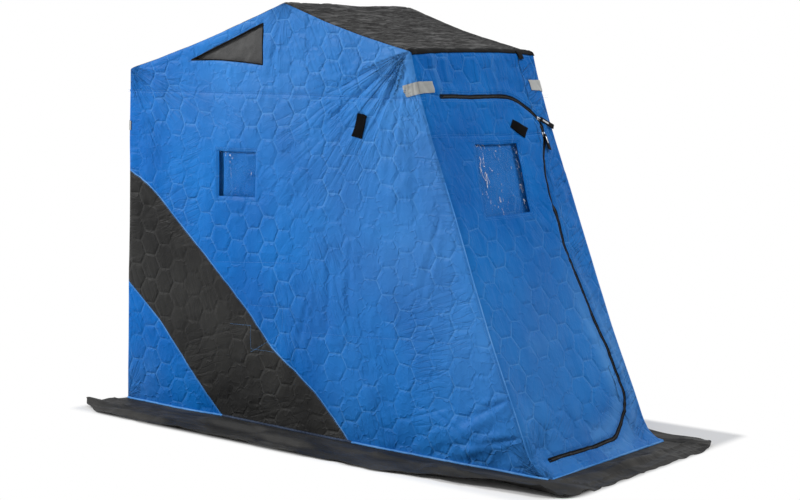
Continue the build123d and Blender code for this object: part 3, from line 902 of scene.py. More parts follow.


# %% [markdown]
# ## The blue shell
#
# The shell is woven polyester with a thin coating: a matt cloth with a faint sheen. Its stitching shows as fine
# lines with a painted highlight, small wrinkles run out from them with painted shade in their creases, the cloth
# is a little paler where it rubs, and painted light pales each panel by its own rule.
# The broad shapes are real geometry. The weave, the needle lines and the smallest wrinkles are bumps, because a
# mesh fine enough to hold them would be far too heavy.

# %% Finish of quilted cloth


def quilted_cloth(name, base, pale, dark, wrinkle=1.0):
    """Woven and quilted cloth, in three shades of its colour."""
    material, recipe, shader = finish_named(name)
    place, gap = quilting_gap(recipe)
    spot = recipe.spot()
    pull = recipe.carried("pull", 1)
    painted_light = recipe.carried("painted_light", 2)
    strength = recipe.axes(pull)[2]
    patchy = recipe.noise(spot, 6.0, 2.0, 0.5).step_up(0.40, 0.58)
    tight = recipe.noise(spot, 4.6, 3.0, 0.55).step_up(0.42, 0.62)
    fine = recipe.noise(spot, 75.0, 3.0, 0.6)
    worn = recipe.noise(spot, 9.0, 4.0, 0.65).step_up(0.50, 0.78)
    long_folds = recipe.folds(recipe.scaled(pull, (15.0, 3.0, 0.0)), 1.0, 3.0, 1.5) * strength
    taut = recipe.folds(recipe.scaled(pull, (40.0, 7.0, 0.0)), 1.0, 7.0, 1.0) * strength * (patchy * 0.9 + 0.1)
    small = recipe.folds(spot, 30.0, 4.0, 1.0)
    slope = gap.step_up(0.0005, 0.0095)
    seam = 1 - gap.step_up(0.0006, 0.0034)
    near_seam = 1 - gap.step_up(0.004, 0.026)
    tint = recipe.mix(recipe.noise(spot, 2.6, 3.0, 0.55).step_up(0.3, 0.7), dark, base)
    # The pale shade takes the painted light that each panel carries, random worn patches, and a painted highlight along
    # the quilting lines.
    tint = recipe.mix(painted_light + worn * 0.07 + seam * (tight * 0.26 + 0.04), tint, pale)
    # Painted shade: the dark shade darkens the creases and the small wrinkles beside the quilting.
    tint = recipe.mix(taut * 0.25 + small * near_seam * 0.12, tint, dark)
    recipe.feed(shader.inputs["Base Color"], tint)
    recipe.feed(shader.inputs["Roughness"], fine * 0.10 + 0.46)
    shader.inputs["Specular IOR Level"].default_value = 0.085
    warp, weft, _ = recipe.axes(recipe.scaled(place, (1 / 0.0011, 1 / 0.0011, 1.0)))
    weave = warp.ping_pong(0.5).maximum(weft.ping_pong(0.5))
    normal = recipe.bump(long_folds * -1.0, 0.0050 * wrinkle, 1.0)
    normal = recipe.bump(taut * -1.0, 0.0026 * wrinkle, 1.0, normal)
    normal = recipe.bump(small * (near_seam * 0.65 + 0.35), 0.0017 * wrinkle, 1.0, normal)
    normal = recipe.bump(slope * (tight * 0.70 + 0.30), 0.0017, 1.0, normal)
    normal = recipe.bump(fine, 0.0003, 0.8, normal)
    normal = recipe.bump(weave, 0.00010, 0.5, normal)
    recipe.feed(shader.inputs["Normal"], normal)
    return material


blue_cloth = quilted_cloth("blue_cloth", color(5, 106, 186), color(96, 156, 216), color(1, 88, 166))
charcoal_cloth = quilted_cloth("charcoal_cloth", color(47, 47, 46), color(82, 82, 81), color(33, 33, 33), 0.8)
blind_cloth = quilted_cloth("blind_cloth", color(36, 110, 184), color(96, 152, 210), color(14, 90, 166), 0.8)


# %% Finish of the roof, which is a heathered weave


def heather_cloth(name):
    """Charcoal cloth with paler threads that run from side to side."""
    material, recipe, shader = finish_named(name)
    place, gap = quilting_gap(recipe)
    spot = recipe.spot()
    threads = recipe.noise(recipe.scaled(spot, (150.0, 16.0, 150.0)), 1.0, 3.0, 0.7)
    streaks = recipe.noise(recipe.scaled(spot, (34.0, 7.0, 34.0)), 1.0, 4.0, 0.65)
    tint = recipe.mix(threads.step_up(0.44, 0.66) * 0.85, color(22, 22, 22), color(80, 80, 80))
    tint = recipe.mix(streaks.step_up(0.52, 0.70) * 0.55, tint, color(112, 112, 112))
    recipe.feed(shader.inputs["Base Color"], tint)
    recipe.feed(shader.inputs["Roughness"], threads * 0.15 + 0.72)
    shader.inputs["Specular IOR Level"].default_value = 0.12
    needle = gap.step_up(0.0006, 0.0026)
    normal = recipe.bump(streaks, 0.006, 0.9)
    normal = recipe.bump(threads, 0.0006, 0.7, normal)
    normal = recipe.bump(needle, 0.0008, 0.6, normal)
    recipe.feed(shader.inputs["Normal"], normal)
    return material


roof_cloth = heather_cloth("roof_cloth")

# %% Plain finishes: skirt, lining, webbing, velcro, zip tape


def plain_cloth(name, base, pale, rough=0.6, folds=0.0030, weave_size=0.0012, shine=0.18, stretch=(1.0, 1.0, 1.0)):
    """Unquilted cloth: two shades, soft creases and a weave."""
    material, recipe, shader = finish_named(name)
    spot = recipe.spot()
    long_spot = recipe.scaled(spot, stretch)
    broad = recipe.noise(long_spot, 5.0, 4.0, 0.6)
    fine = recipe.noise(spot, 160.0, 3.0, 0.7)
    tint = recipe.mix(broad.step_up(0.35, 0.72), base, pale)
    tint = recipe.mix(fine.step_up(0.55, 0.75) * 0.35, tint, pale)
    recipe.feed(shader.inputs["Base Color"], tint)
    recipe.feed(shader.inputs["Roughness"], fine * 0.15 + rough - 0.07)
    shader.inputs["Specular IOR Level"].default_value = shine
    creases = recipe.noise(long_spot, 20.0, 4.0, 0.6, "RIDGED_MULTIFRACTAL")
    x, y, z = recipe.axes(recipe.scaled(spot, (1 / weave_size,) * 3))
    weave = x.ping_pong(0.5) + y.ping_pong(0.5) + z.ping_pong(0.5)
    normal = recipe.bump(creases, folds, 0.8)
    normal = recipe.bump(weave, weave_size * 0.12, 0.6, normal)
    recipe.feed(shader.inputs["Normal"], normal)
    return material


skirt_cloth = plain_cloth("skirt_cloth", color(34, 34, 34), color(60, 59, 57), 0.6, 0.0070, shine=0.12,
                          stretch=(0.6, 1.6, 1.0))
lining_cloth = plain_cloth("lining_cloth", color(38, 39, 42), color(56, 57, 61), 0.7, 0.0020)
black_webbing = plain_cloth("black_webbing", color(12, 12, 13), color(28, 28, 29), 0.7, 0.0008, 0.0022, 0.06)
black_patch = plain_cloth("black_patch", color(7, 7, 8), color(17, 17, 18), 0.85, 0.0010, 0.0016, 0.04)
zip_tape = plain_cloth("zip_tape", color(8, 8, 9), color(20, 20, 22), 0.6, 0.0006, 0.0012, 0.06)
reflective_tape = plain_cloth("reflective_tape", color(146, 148, 146), color(172, 173, 171), 0.42, 0.0010, 0.0030, 0.2)
pale_thread = plain_cloth("pale_thread", color(72, 140, 208), color(112, 166, 222), 0.55, 0.0002, 0.0006)
dark_thread = plain_cloth("dark_thread", color(24, 25, 27), color(44, 46, 50), 0.55, 0.0002, 0.0006, 0.06)
cord_cloth = plain_cloth("cord_cloth", color(44, 56, 78), color(74, 88, 112), 0.6, 0.0003, 0.0008)
blue_piping = plain_cloth("blue_piping", color(56, 130, 204), color(104, 162, 222), 0.5, 0.0006, 0.0010)


# %% Mesh, film, metal and tube


def net_cloth(name):
    """Black net for the vents: a dark sheet of tiny holes with greyish threads."""
    material, recipe, shader = finish_named(name)
    spot = recipe.spot()
    x, _, z = recipe.axes(recipe.scaled(spot, (1 / 0.0016,) * 3))
    thread = x.ping_pong(0.5).maximum(z.ping_pong(0.5)).step_up(0.32, 0.42)
    soft = recipe.noise(spot, 14.0, 3.0, 0.6)
    tint = recipe.mix(thread, color(12, 12, 13), color(48, 48, 48))
    tint = recipe.mix(soft.step_up(0.4, 0.7) * 0.4, tint, color(72, 72, 71))
    recipe.feed(shader.inputs["Base Color"], tint)
    shader.inputs["Roughness"].default_value = 0.6
    normal = recipe.bump(thread, 0.0002, 0.8)
    recipe.feed(shader.inputs["Normal"], recipe.bump(soft, 0.006, 0.8, normal))
    return material


def clear_vinyl(name):
    """Clear film: a thin, glossy skin, with painted white glints along its sharpest upright creases."""
    material, recipe, shader = finish_named(name)
    spot = recipe.spot()
    glints = recipe.carried("glints", 2)
    upright = recipe.scaled(spot, (1.0, 1.0, 0.12))
    wrinkles = recipe.noise(upright, 60.0, 3.0, 0.6)
    glint_lines = recipe.folds(upright, 46.0, 17.0, 1.0)
    broken = recipe.noise(recipe.scaled(spot, (1.0, 1.0, 0.35)), 46.0, 3.0, 0.6)
    clouds = recipe.noise(spot, 11.0, 3.0, 0.6)
    # Painted glints: white streaks along the creases stand in for light glancing off the film.
    white = glint_lines * (broken + glints * 0.30).step_up(0.60, 0.66)
    recipe.feed(shader.inputs["Base Color"], recipe.mix(white, color(36, 98, 168), (1, 1, 1, 1)))
    shader.inputs["Specular IOR Level"].default_value = 0.2
    recipe.feed(shader.inputs["Roughness"], clouds.step_up(0.4, 0.8, 0.08, 0.25))
    recipe.feed(shader.inputs["Alpha"], clouds.step_up(0.40, 0.85, 0.02, 0.12).maximum(white * 0.9))
    recipe.feed(shader.inputs["Normal"], recipe.bump(wrinkles, 0.009, 0.8))
    return material


def smooth_part(name, base, metallic, rough):
    """A moulded or metal part: one colour, finely scuffed."""
    material, recipe, shader = finish_named(name)
    spot = recipe.spot()
    scuff = recipe.noise(spot, 220.0, 4.0, 0.65)
    darker = tuple(v * 0.72 for v in base[:3]) + (1.0,)
    recipe.feed(shader.inputs["Base Color"], recipe.mix(scuff.step_up(0.4, 0.7), base, darker))
    recipe.feed(shader.inputs["Roughness"], scuff.step_up(0.3, 0.8, rough - 0.08, rough + 0.12))
    shader.inputs["Metallic"].default_value = metallic
    recipe.feed(shader.inputs["Normal"], recipe.bump(scuff, 0.0002, 0.5))
    return material


black_mesh = net_cloth("black_mesh")
clear_film = clear_vinyl("clear_film")
zip_metal = smooth_part("zip_metal", color(196, 198, 202), 1.0, 0.30)
zip_teeth = smooth_part("zip_teeth", color(15, 15, 16), 0.0, 0.5)
frame_tube = smooth_part("frame_tube", color(58, 60, 64), 0.6, 0.42)
hub_plate = smooth_part("hub_plate", color(30, 31, 33), 0.0, 0.5)
print("materials:", len(bpy.data.materials))

# %% [markdown]
# ## Geometry trees
#
# Five things on the hut follow a rule, so each has a tree: the puffs of the quilting, the stitches along a seam,
# the teeth of the zip, round piping and twisted cord. A tree is built once and used for every piece of its kind.

# %% Helpers for geometry trees


def geometry_tree(name, inputs):
    """A new geometry tree with named inputs. Returns its recipe, and its inputs as wires."""
    tree = bpy.data.node_groups.new(name, "GeometryNodeTree")
    tree.interface.new_socket("Geometry", in_out="INPUT", socket_type="NodeSocketGeometry")
    tree.interface.new_socket("Geometry", in_out="OUTPUT", socket_type="NodeSocketGeometry")
    for label, kind in inputs.items():
        tree.interface.new_socket(label, in_out="INPUT", socket_type="NodeSocket" + kind)
    recipe = Recipe(tree)
    entry = tree.nodes.new("NodeGroupInput")
    return recipe, {socket.name: Wire(recipe, socket) for socket in entry.outputs if socket.name}


def end_tree(recipe, geometry, material):
    """Every tree ends in real geometry with its material on."""
    geometry = recipe.node("GeometryNodeRealizeInstances", {}, {0: geometry})
    geometry = recipe.node("GeometryNodeSetMaterial", {}, {"Geometry": geometry, "Material": material})
    recipe.feed(recipe.tree.nodes.new("NodeGroupOutput").inputs[0], geometry)
    return recipe.tree


def grow(obj, tree, **values):
    """Runs a tree on an object, and keeps what it makes as the object's own mesh."""
    modifier = obj.modifiers.new(tree.name, "NODES")
    modifier.node_group = tree
    for item in tree.interface.items_tree:
        if item.in_out == "INPUT" and item.name in values:
            modifier[item.identifier] = values[item.name]
    return settle(obj)


def settle(obj):
    """Turns what an object's modifiers make into its own plain mesh, and drops the modifiers."""
    depsgraph = bpy.context.evaluated_depsgraph_get()
    made = obj.evaluated_get(depsgraph)
    mesh = bpy.data.meshes.new_from_object(made, preserve_all_data_layers=True, depsgraph=depsgraph)
    obj.modifiers.clear()
    obj.data = mesh
    return obj


# %% The quilting tree
recipe, given = geometry_tree("quilting", {"Puff": "Float", "Material": "Material"})
quilt_place = recipe.node("GeometryNodeInputNamedAttribute", {"data_type": "FLOAT_VECTOR"}, {"Name": "quilt"})
free = recipe.node("GeometryNodeInputNamedAttribute", {"data_type": "FLOAT"}, {"Name": "loft"})
across, up, _ = recipe.axes(quilt_place)
gap = to_quilting(across, up, Wire.ping_pong, Wire.maximum, Wire.minimum)
shape = gap.step_up(0.0, 0.014) * 0.75 + gap.step_up(0.0, cell_height / 2) * 0.25
outward = recipe.node("GeometryNodeInputNormal")
rising = shape * free * given["Puff"]
offset = recipe.node("ShaderNodeVectorMath", {"operation": "SCALE"}, {0: outward, "Scale": rising})
puffy = recipe.node("GeometryNodeSetPosition", {}, {"Geometry": given["Geometry"], "Offset": offset})
quilting_tree = end_tree(recipe, puffy, given["Material"])

# %% The stitching tree: a small bead of thread for each stitch
stitch_inputs = {"Pitch": "Float", "Length": "Float", "Thread": "Float", "Material": "Material"}
recipe, given = geometry_tree("stitching", stitch_inputs)
seam_curve = recipe.node("GeometryNodeMeshToCurve", {}, {"Mesh": given["Geometry"]})
places = recipe.node("GeometryNodeResampleCurve", {"mode": "LENGTH"}, {"Curve": seam_curve, "Length": given["Pitch"]})
bead = recipe.node("GeometryNodeMeshIcoSphere", {}, {"Radius": 0.5, "Subdivisions": 1})
thread = given["Thread"]
bead_size = recipe.node("ShaderNodeCombineXYZ", {}, {"X": thread, "Y": thread, "Z": given["Length"]})
heading = recipe.node("GeometryNodeInputTangent")
turn = recipe.node("FunctionNodeAlignRotationToVector", {"axis": "Z"}, {"Vector": heading})
laid = {"Points": places, "Instance": bead, "Rotation": turn, "Scale": bead_size}
stitches = recipe.node("GeometryNodeInstanceOnPoints", {}, laid)
stitching_tree = end_tree(recipe, stitches, given["Material"])

# %% The tree for the zip's teeth, which stand on the cloth and point across the line
recipe, given = geometry_tree("zip_teeth", {"Pitch": "Float", "Size": "Vector", "Material": "Material"})
tooth_curve = recipe.node("GeometryNodeMeshToCurve", {}, {"Mesh": given["Geometry"]})
places = recipe.node("GeometryNodeResampleCurve", {"mode": "LENGTH"}, {"Curve": tooth_curve, "Length": given["Pitch"]})
up = recipe.node("GeometryNodeInputNamedAttribute", {"data_type": "FLOAT_VECTOR"}, {"Name": "up"})
heading = recipe.node("GeometryNodeInputTangent")
turn = recipe.node("FunctionNodeAlignRotationToVector", {"axis": "X"}, {"Vector": heading})
upright = {"axis": "Z", "pivot_axis": "X"}
turn = recipe.node("FunctionNodeAlignRotationToVector", upright, {"Rotation": turn, "Vector": up})
tooth = recipe.node("GeometryNodeMeshCube", {}, {"Size": given["Size"]})
teeth = recipe.node("GeometryNodeInstanceOnPoints", {}, {"Points": places, "Instance": tooth, "Rotation": turn})
teeth_tree = end_tree(recipe, teeth, given["Material"])

# %% The trees for piping and for twisted cord
recipe, given = geometry_tree("piping", {"Radius": "Float", "Material": "Material"})
run = recipe.node("GeometryNodeMeshToCurve", {}, {"Mesh": given["Geometry"]})
ring = recipe.node("GeometryNodeCurvePrimitiveCircle", {}, {"Resolution": 7, "Radius": given["Radius"]})
tube = recipe.node("GeometryNodeCurveToMesh", {}, {"Curve": run, "Profile Curve": ring, "Fill Caps": True})
piping_tree = end_tree(recipe, tube, given["Material"])

strand_share = 0.55
recipe, given = geometry_tree("twisted_cord", {"Radius": "Float", "Lay": "Float", "Material": "Material"})
run = recipe.node("GeometryNodeMeshToCurve", {}, {"Mesh": given["Geometry"]})
run = recipe.node("GeometryNodeResampleCurve", {"mode": "LENGTH"}, {"Curve": run, "Length": 0.0016})
passed = recipe.node("GeometryNodeSplineParameter", {}, {}, out=1)
heading = recipe.node("GeometryNodeInputTangent")
up = recipe.node("GeometryNodeInputNamedAttribute", {"data_type": "FLOAT_VECTOR"}, {"Name": "up"})
beside = recipe.node("ShaderNodeVectorMath", {"operation": "CROSS_PRODUCT"}, {0: heading, 1: up})
strands = recipe.tree.nodes.new("GeometryNodeJoinGeometry")
for strand in range(3):
    angle = passed * (2 * math.pi) / given["Lay"] + strand * 2 * math.pi / 3
    rising = angle.math("COSINE") * given["Radius"] * strand_share
    sideways = angle.math("SINE") * given["Radius"] * strand_share
    one = recipe.node("ShaderNodeVectorMath", {"operation": "SCALE"}, {0: up, "Scale": rising})
    two = recipe.node("ShaderNodeVectorMath", {"operation": "SCALE"}, {0: beside, "Scale": sideways})
    shift = recipe.node("ShaderNodeVectorMath", {"operation": "ADD"}, {0: one, 1: two})
    helix = recipe.node("GeometryNodeSetPosition", {}, {"Geometry": run, "Offset": shift})
    thick = given["Radius"] * strand_share
    ring = recipe.node("GeometryNodeCurvePrimitiveCircle", {}, {"Resolution": 5, "Radius": thick})
    rope = recipe.node("GeometryNodeCurveToMesh", {}, {"Curve": helix, "Profile Curve": ring, "Fill Caps": True})
    recipe.feed(strands.inputs[0], rope)
cord_tree = end_tree(recipe, Wire(recipe, strands.outputs[0]), given["Material"])

# %% [markdown]
# ## Cutting the cloth
#
# A wall is meshed once, on an even grid in its flat coordinates. Where a seam or an opening crosses the grid, the
# nearer corner of each crossed square moves onto the line, and the square is split along it. The faces are then
# sorted into panels. Neighbouring panels share the points of their seam, so no gap opens between them, and the
# grid stays even everywhere else, which keeps the folds smooth.
#
# Each point of a panel carries four things under a name, which the tree and the finishes read: its place in the
# quilting pattern (quilt), how far the filling can puff up there (loft), which way and how hard the cloth is
# pulled (pull), and how much painted light pales it (faded). The clear film carries where its painted glints go (wear).

# %% Objects from numbers


def in_scene(name, data):
    """A new object in the scene, with that data."""
    obj = bpy.data.objects.new(name, data)
    bpy.context.scene.collection.objects.link(obj)
    return obj


def new_piece(name, points, faces, attributes=None):
    """A mesh object with its place in its mesh. Attributes are numbers or vectors, one for each point."""
    mesh = bpy.data.meshes.new(name)
    mesh.from_pydata(np.asarray(points).tolist(), [], faces)
    obj = in_scene(name, mesh)
    for label, values in (attributes or {}).items():
        kind = "FLOAT" if np.ndim(values) == 1 else "FLOAT_VECTOR"
        layer = mesh.attributes.new(label, kind, "POINT")
        layer.data.foreach_set("value" if kind == "FLOAT" else "vector", np.asarray(values, float).ravel())
    return obj


def grid_squares(columns, rows):
    """The squares of a grid of points, each as its four corners in turn."""
    index = np.arange(columns * rows).reshape(columns, rows)
    return np.stack([index[:-1, :-1], index[1:, :-1], index[1:, 1:], index[:-1, 1:]], axis=-1).reshape(-1, 4)


def new_lines(name, runs):
    """An object of loose lines in space. Each run is its points and the outward directions there."""
    points, ups, edges = [], [], []
    for line, up in runs:
        edges += [(len(points) + i, len(points) + i + 1) for i in range(len(line) - 1)]
        points += list(line)
        ups += list(up)
    mesh = bpy.data.meshes.new(name)
    mesh.from_pydata(np.asarray(points).tolist(), edges, [])
    layer = mesh.attributes.new("up", "FLOAT_VECTOR", "POINT")
    layer.data.foreach_set("vector", np.asarray(ups, float).ravel())
    return in_scene(name, mesh)


def tidy(obj, angle=40):
    """Smooth shading that breaks at sharp edges, with zero-sized faces removed."""
    shape = bmesh.new()
    shape.from_mesh(obj.data)
    bmesh.ops.remove_doubles(shape, verts=shape.verts, dist=1e-5)
    bmesh.ops.dissolve_degenerate(shape, edges=shape.edges, dist=1e-6)
    shape.to_mesh(obj.data)
    shape.free()
    obj.data.shade_smooth()
    obj.data.set_sharp_from_angle(angle=math.radians(angle))
    return obj


def turned_to(facing, points, faces, index):
    """The faces of a sheet, all turned over if the one at that index looks away from its outward direction."""
    first, second, third = points[faces[index][:3]]
    if np.cross(second - first, third - first) @ facing < 0:
        return [face[::-1] for face in faces]
    return faces


def thicken(obj, thickness, lined=0):
    """Gives a sheet its thickness, inwards. A lined sheet shows its next material on the inside."""
    layer = obj.modifiers.new("thickness", "SOLIDIFY")
    layer.thickness, layer.offset, layer.material_offset = thickness, -1, lined
    return settle(obj)


def dress(obj, body, slot, *nodes):
    """Says which body a piece moves with and which plain solids it stands for. Its slot is not used."""
    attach(obj, body)
    if nodes:
        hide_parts(*nodes)
    print(f"{obj.name}: {sum(len(p.vertices) - 2 for p in obj.data.polygons)} triangles")
    return obj


# %% Cutting


def without_slivers(flat, faces):
    """Joins corners that moved onto the same place, and drops the faces that this leaves with no area."""
    _, first, same = np.unique(np.round(flat / 2e-5), axis=0, return_index=True, return_inverse=True)
    joined_at = first[np.ravel(same)]
    kept = []
    for face in faces:
        corners = list(dict.fromkeys(int(joined_at[i]) for i in face))
        x, y = flat[corners].T
        area = abs((x * np.roll(y, -1) - y * np.roll(x, -1)).sum()) / 2
        if len(corners) > 2 and area > 2e-8:
            kept.append(corners)
    return kept


def cut_cloth(span_across, span_up, step, sort, lines, corners):
    """Meshes flat cloth on a grid that follows the lines. Returns the flat points and the faces of each panel."""
    columns = round((span_across[1] - span_across[0]) / step) + 1
    rows = round((span_up[1] - span_up[0]) / step) + 1
    grid = np.meshgrid(np.linspace(*span_across, columns), np.linspace(*span_up, rows), indexing="ij")
    flat = np.stack(grid, axis=-1).reshape(-1, 2)
    lowest, highest = np.array([span_across[0], span_up[0]]), np.array([span_across[1], span_up[1]])
    panel = sort(np.clip(flat, lowest + 1e-4, highest - 1e-4)).reshape(columns, rows)
    gap, foot = np.full(len(flat), np.inf), flat.copy()
    for line in lines:
        distance, near, _, _ = nearest(flat, line)
        closer = distance < gap
        gap[closer], foot[closer] = distance[closer], near[closer]
    gap = gap.reshape(columns, rows)
    moved = np.zeros((columns, rows), bool)
    for here, there in ((np.s_[:-1, :], np.s_[1:, :]), (np.s_[:, :-1], np.s_[:, 1:])):
        crossed = (panel[here] != panel[there]) & (np.minimum(gap[here], gap[there]) < step)
        first = gap[here] <= gap[there]
        moved[here] |= crossed & first
        moved[there] |= crossed & ~first
    moved = moved.ravel()
    flat[moved] = foot[moved]
    flat = np.clip(flat, lowest, highest)
    for corner in corners:
        at = int(np.linalg.norm(flat - corner, axis=1).argmin())
        flat[at], moved[at] = corner, True
    squares = grid_squares(columns, rows)
    other_way = moved[squares[:, 1]] & moved[squares[:, 3]] & ~(moved[squares[:, 0]] & moved[squares[:, 2]])
    squares[other_way] = np.roll(squares[other_way], -1, axis=1)
    halves = [squares[:, [0, 1, 2]], squares[:, [0, 2, 3]]]
    kinds = [sort(flat[triangles].mean(axis=1)) for triangles in halves]
    cloths = {}
    for name in sorted(set(kinds[0]) | set(kinds[1])):
        if not name:
            continue
        whole = (kinds[0] == name) & (kinds[1] == name)
        faces = squares[whole].tolist()
        for triangles, kind in zip(halves, kinds):
            faces += triangles[(kind == name) & ~whole].tolist()
        faces = without_slivers(flat, faces)
        used = np.unique(np.concatenate([np.array(face) for face in faces]))
        renumber = {int(old): new for new, old in enumerate(used)}
        cloths[name] = (flat[used], [[renumber[i] for i in face] for face in faces])
    return cloths


def flat_area(flat, faces):
    """The area of cut cloth."""
    area = 0.0
    for sides in {len(face) for face in faces}:
        x, y = np.moveaxis(flat[np.array([face for face in faces if len(face) == sides])], -1, 0)
        area += np.abs((x * np.roll(y, -1, axis=1) - y * np.roll(x, -1, axis=1)).sum(axis=1)).sum() / 2
    return float(area)


cloth_thickness = 0.004


def sew_panel(name, wall, flat, faces, finish):
    """One panel of a wall's cloth: stretched over the folds, quilted, and given its thickness and its lining."""
    points = wall.place(flat, quilted=False)
    sample = len(faces) // 3
    faces = turned_to(wall.outward(flat[faces[sample][:1]])[0], points, faces, sample)
    edge = wall.lay(flat)[2]
    quilt = np.column_stack([wall.quilt_places(flat), np.zeros(len(flat))])
    told = {"quilt": quilt, "loft": wall.loft(flat, edge), "pull": wall.pull(flat, edge), "painted_light": wall.painted_light(flat)}
    obj = new_piece(name, points, faces, told)
    grow(obj, quilting_tree, Puff=puff, Material=finish)
    tidy(obj, 60)
    obj.data.materials.append(lining_cloth)
    thicken(obj, cloth_thickness, lined=1)
    obj.data.set_sharp_from_angle(angle=math.radians(60))
    return obj


# %% [markdown]
# ## Side walls
#
# Each side wall gives four panels from one grid. The side that faces away from the door's hinge is the same
# wall, mirrored, with folds of its own.

# %% Panels of the side walls
near_step, far_step, rear_step, roof_step = 0.0072, 0.011, 0.011, 0.0085
tubes = [name for name in frame["nodes"] if name.endswith("bow")]


def side_panel_at(flat):
    """The name of the side panel at each flat point, or nothing where there is an opening or the wall ends."""
    d, z = flat[:, 0], flat[:, 1]
    above_sash = z > np.interp(d, sash_top[:, 0], sash_top[:, 1], right=-1)
    above_heel = z > np.interp(d, sash_foot[:, 0], sash_foot[:, 1], right=-1)
    names = np.where(above_heel, "sash_panel", "heel_panel")
    names = np.where(above_sash, "middle_panel", names)
    names = np.where(z > np.interp(d, side_seam[:, 0], side_seam[:, 1]), "top_panel", names)
    hole = ~inside(flat, closed(side_outline)) | inside(flat, vent_outline) | inside(flat, pane_outline)
    return np.where(hole, "", names)


side_finish = {
    "top_panel": ("blue_cloth", blue_cloth),
    "middle_panel": ("blue_cloth", blue_cloth),
    "sash_panel": ("charcoal_cloth", charcoal_cloth),
    "heel_panel": ("blue_cloth", blue_cloth),
}
side_lines = [*side_seams, side_outline]
side_corners = np.vstack([pane_outline, [vent_tip, vent_high, vent_low]])
grid_steps = {"left": near_step, "right": far_step}
walls = {"left": left_wall, "right": right_wall}
for side, wall in walls.items():
    cloths = cut_cloth((-0.002, toe[0] + 0.002), (0.0, ridge[1] + 0.004), grid_steps[side], side_panel_at,
                       side_lines, side_corners)
    for panel, (flat, faces) in cloths.items():
        slot, finish = side_finish[panel]
        obj = sew_panel(f"{side}_{panel}_cloth", wall, flat, faces, finish)
        dress(obj, "hut", slot, f"{side}_{panel}")
        size, area = np.ptp(flat, axis=0), flat_area(flat, faces)
        tuple(size)

# %% [markdown]
# ## Roof, rear wall and front wall
#
# These are three lengths of the same band. The front wall has the door's outline in it: what lies inside it
# rides on the door, and what lies outside stays with the hut. A narrow strip over the hinge line is a panel of
# its own, which rides on neither.

# %% Panels of the roof and the rear wall


def rear_panel_at(flat):
    """The name of the rear panel at each flat point."""
    return np.where(flat[:, 1] > rear_seam[0, 1], "rear_top_panel", "rear_lower_panel")


def roof_panel_at(flat):
    """The name of the roof panel at each flat point."""
    return np.where(flat[:, 1] > ridge_run, "roof_front_panel", "roof_rear_panel")


ridge_line = np.array([(-half, ridge_run), (half, ridge_run)])
for wall, spans, step, sort, line, slot, finish in (
    (rear_wall, (0.0, top_run), rear_step, rear_panel_at, rear_seam, "blue_cloth", blue_cloth),
    (roof_wall, (top_run, brow_run), roof_step, roof_panel_at, ridge_line, "roof_cloth", roof_cloth),
):
    for panel, (flat, faces) in cut_cloth((-half, half), spans, step, sort, [line], []).items():
        obj = sew_panel(f"{panel}_cloth", wall, flat, faces, finish)
        dress(obj, "hut", slot, panel)
        tuple(np.ptp(flat, axis=0))

# %% Panels of the front wall and the door
fold_half = 0.015


def front_panel_at(flat):
    """The front wall's panels: the surround, the door's two panels and the fold between them."""
    y, s = flat[:, 0], flat[:, 1]
    in_door = inside(flat, door_outline)
    below_seam = s > np.interp(y, door_seam[:, 0], door_seam[:, 1])
    names = np.where(in_door, np.where(below_seam, "door_main", "door_top"), "surround")
    beside_door = (s > hinge_line[:, 1].min()) & (s < hinge_line[:, 1].max())
    names = np.where((np.abs(y - hinge_y) < fold_half) & beside_door, "door_fold", names)
    return np.where(inside(flat, door_pane), "", names)


fold_edges = [hinge_line + (side * fold_half, 0.0) for side in (-1, 1)]
fold_box = np.vstack([fold_edges[0], fold_edges[1][::-1]])
front_lines = [zip_line, door_seam, closed(door_pane), closed(fold_box)]
front_corners = np.vstack([door_pane, fold_box])
cloths = cut_cloth((-half, half), (brow_run, toe_run), near_step, front_panel_at, front_lines, front_corners)
surround_nodes = ["front_header_panel", "front_hinge_strip", "front_zip_strip", "front_sill_panel"]
front_bodies = {
    "surround": ("hut", surround_nodes),
    "door_main": ("door", ["door_main_panel"]),
    "door_top": ("door", ["door_top_panel"]),
    "door_fold": (None, []),
}
for panel, (flat, faces) in cloths.items():
    body, nodes = front_bodies[panel]
    obj = sew_panel(f"{panel}_cloth", front_wall, flat, faces, blue_cloth)
    if body:
        dress(obj, body, "blue_cloth", *nodes)
    else:
        fold_middle = front_wall.place(front_flat([(hinge_y, 0.7)]))[0]
        fold_start, fold_end = fold_middle - (0, fold_half, 0), fold_middle + (0, fold_half, 0)
        tuple(fold_start)
        tuple(fold_end)
        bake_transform(obj)
    size, area = np.ptp(flat, axis=0), flat_area(flat, faces)
    tuple(size)

# %% [markdown]
# ## Patches, panes and the blinds behind them
#
# A patch is a small four-sided sheet, laid on the wall between its corners. The panes are clear film, sewn
# behind the opening, and each has a quilted blind inside that is let down over it.

# %% Patches


def patch(name, wall, corners, across, up, lift, finish, thickness, body, slot, nodes=(), bend=None, glints=None):
    """A four-sided sheet between four flat corners, which go round in order. It may bend by a rule, and carry painted
    glints by another.
    """
    u, v = [g.ravel() for g in np.meshgrid(np.linspace(0, 1, across + 1), np.linspace(0, 1, up + 1), indexing="ij")]
    shares = ((1 - u) * (1 - v), u * (1 - v), u * v, (1 - u) * v)
    flat = sum(share[:, None] * np.array(corner, float) for share, corner in zip(shares, corners))
    faces = grid_squares(across + 1, up + 1).tolist()
    at_edge = np.maximum(np.abs(2 * u - 1), np.abs(2 * v - 1)) > 0.999
    height = lift - thickness * 0.6 * at_edge if lift > 0 else np.full(len(u), lift)
    facing = wall.outward(flat)
    points = wall.place(flat, quilted=lift > 0) + facing * height[:, None]
    if bend is not None:
        points = points + facing * bend(u, v)[:, None]
    faces = turned_to(facing[faces[0][0]], points, faces, 0)
    told = {"quilt": np.column_stack([wall.quilt_places(flat), np.zeros(len(flat))])}
    if glints is not None:
        told["glints"] = glints(u, v)
    obj = new_piece(name, points, faces, told)
    obj.data.materials.append(finish)
    thicken(obj, thickness)
    tidy(obj, 50)
    dress(obj, body, slot, *nodes)
    return obj


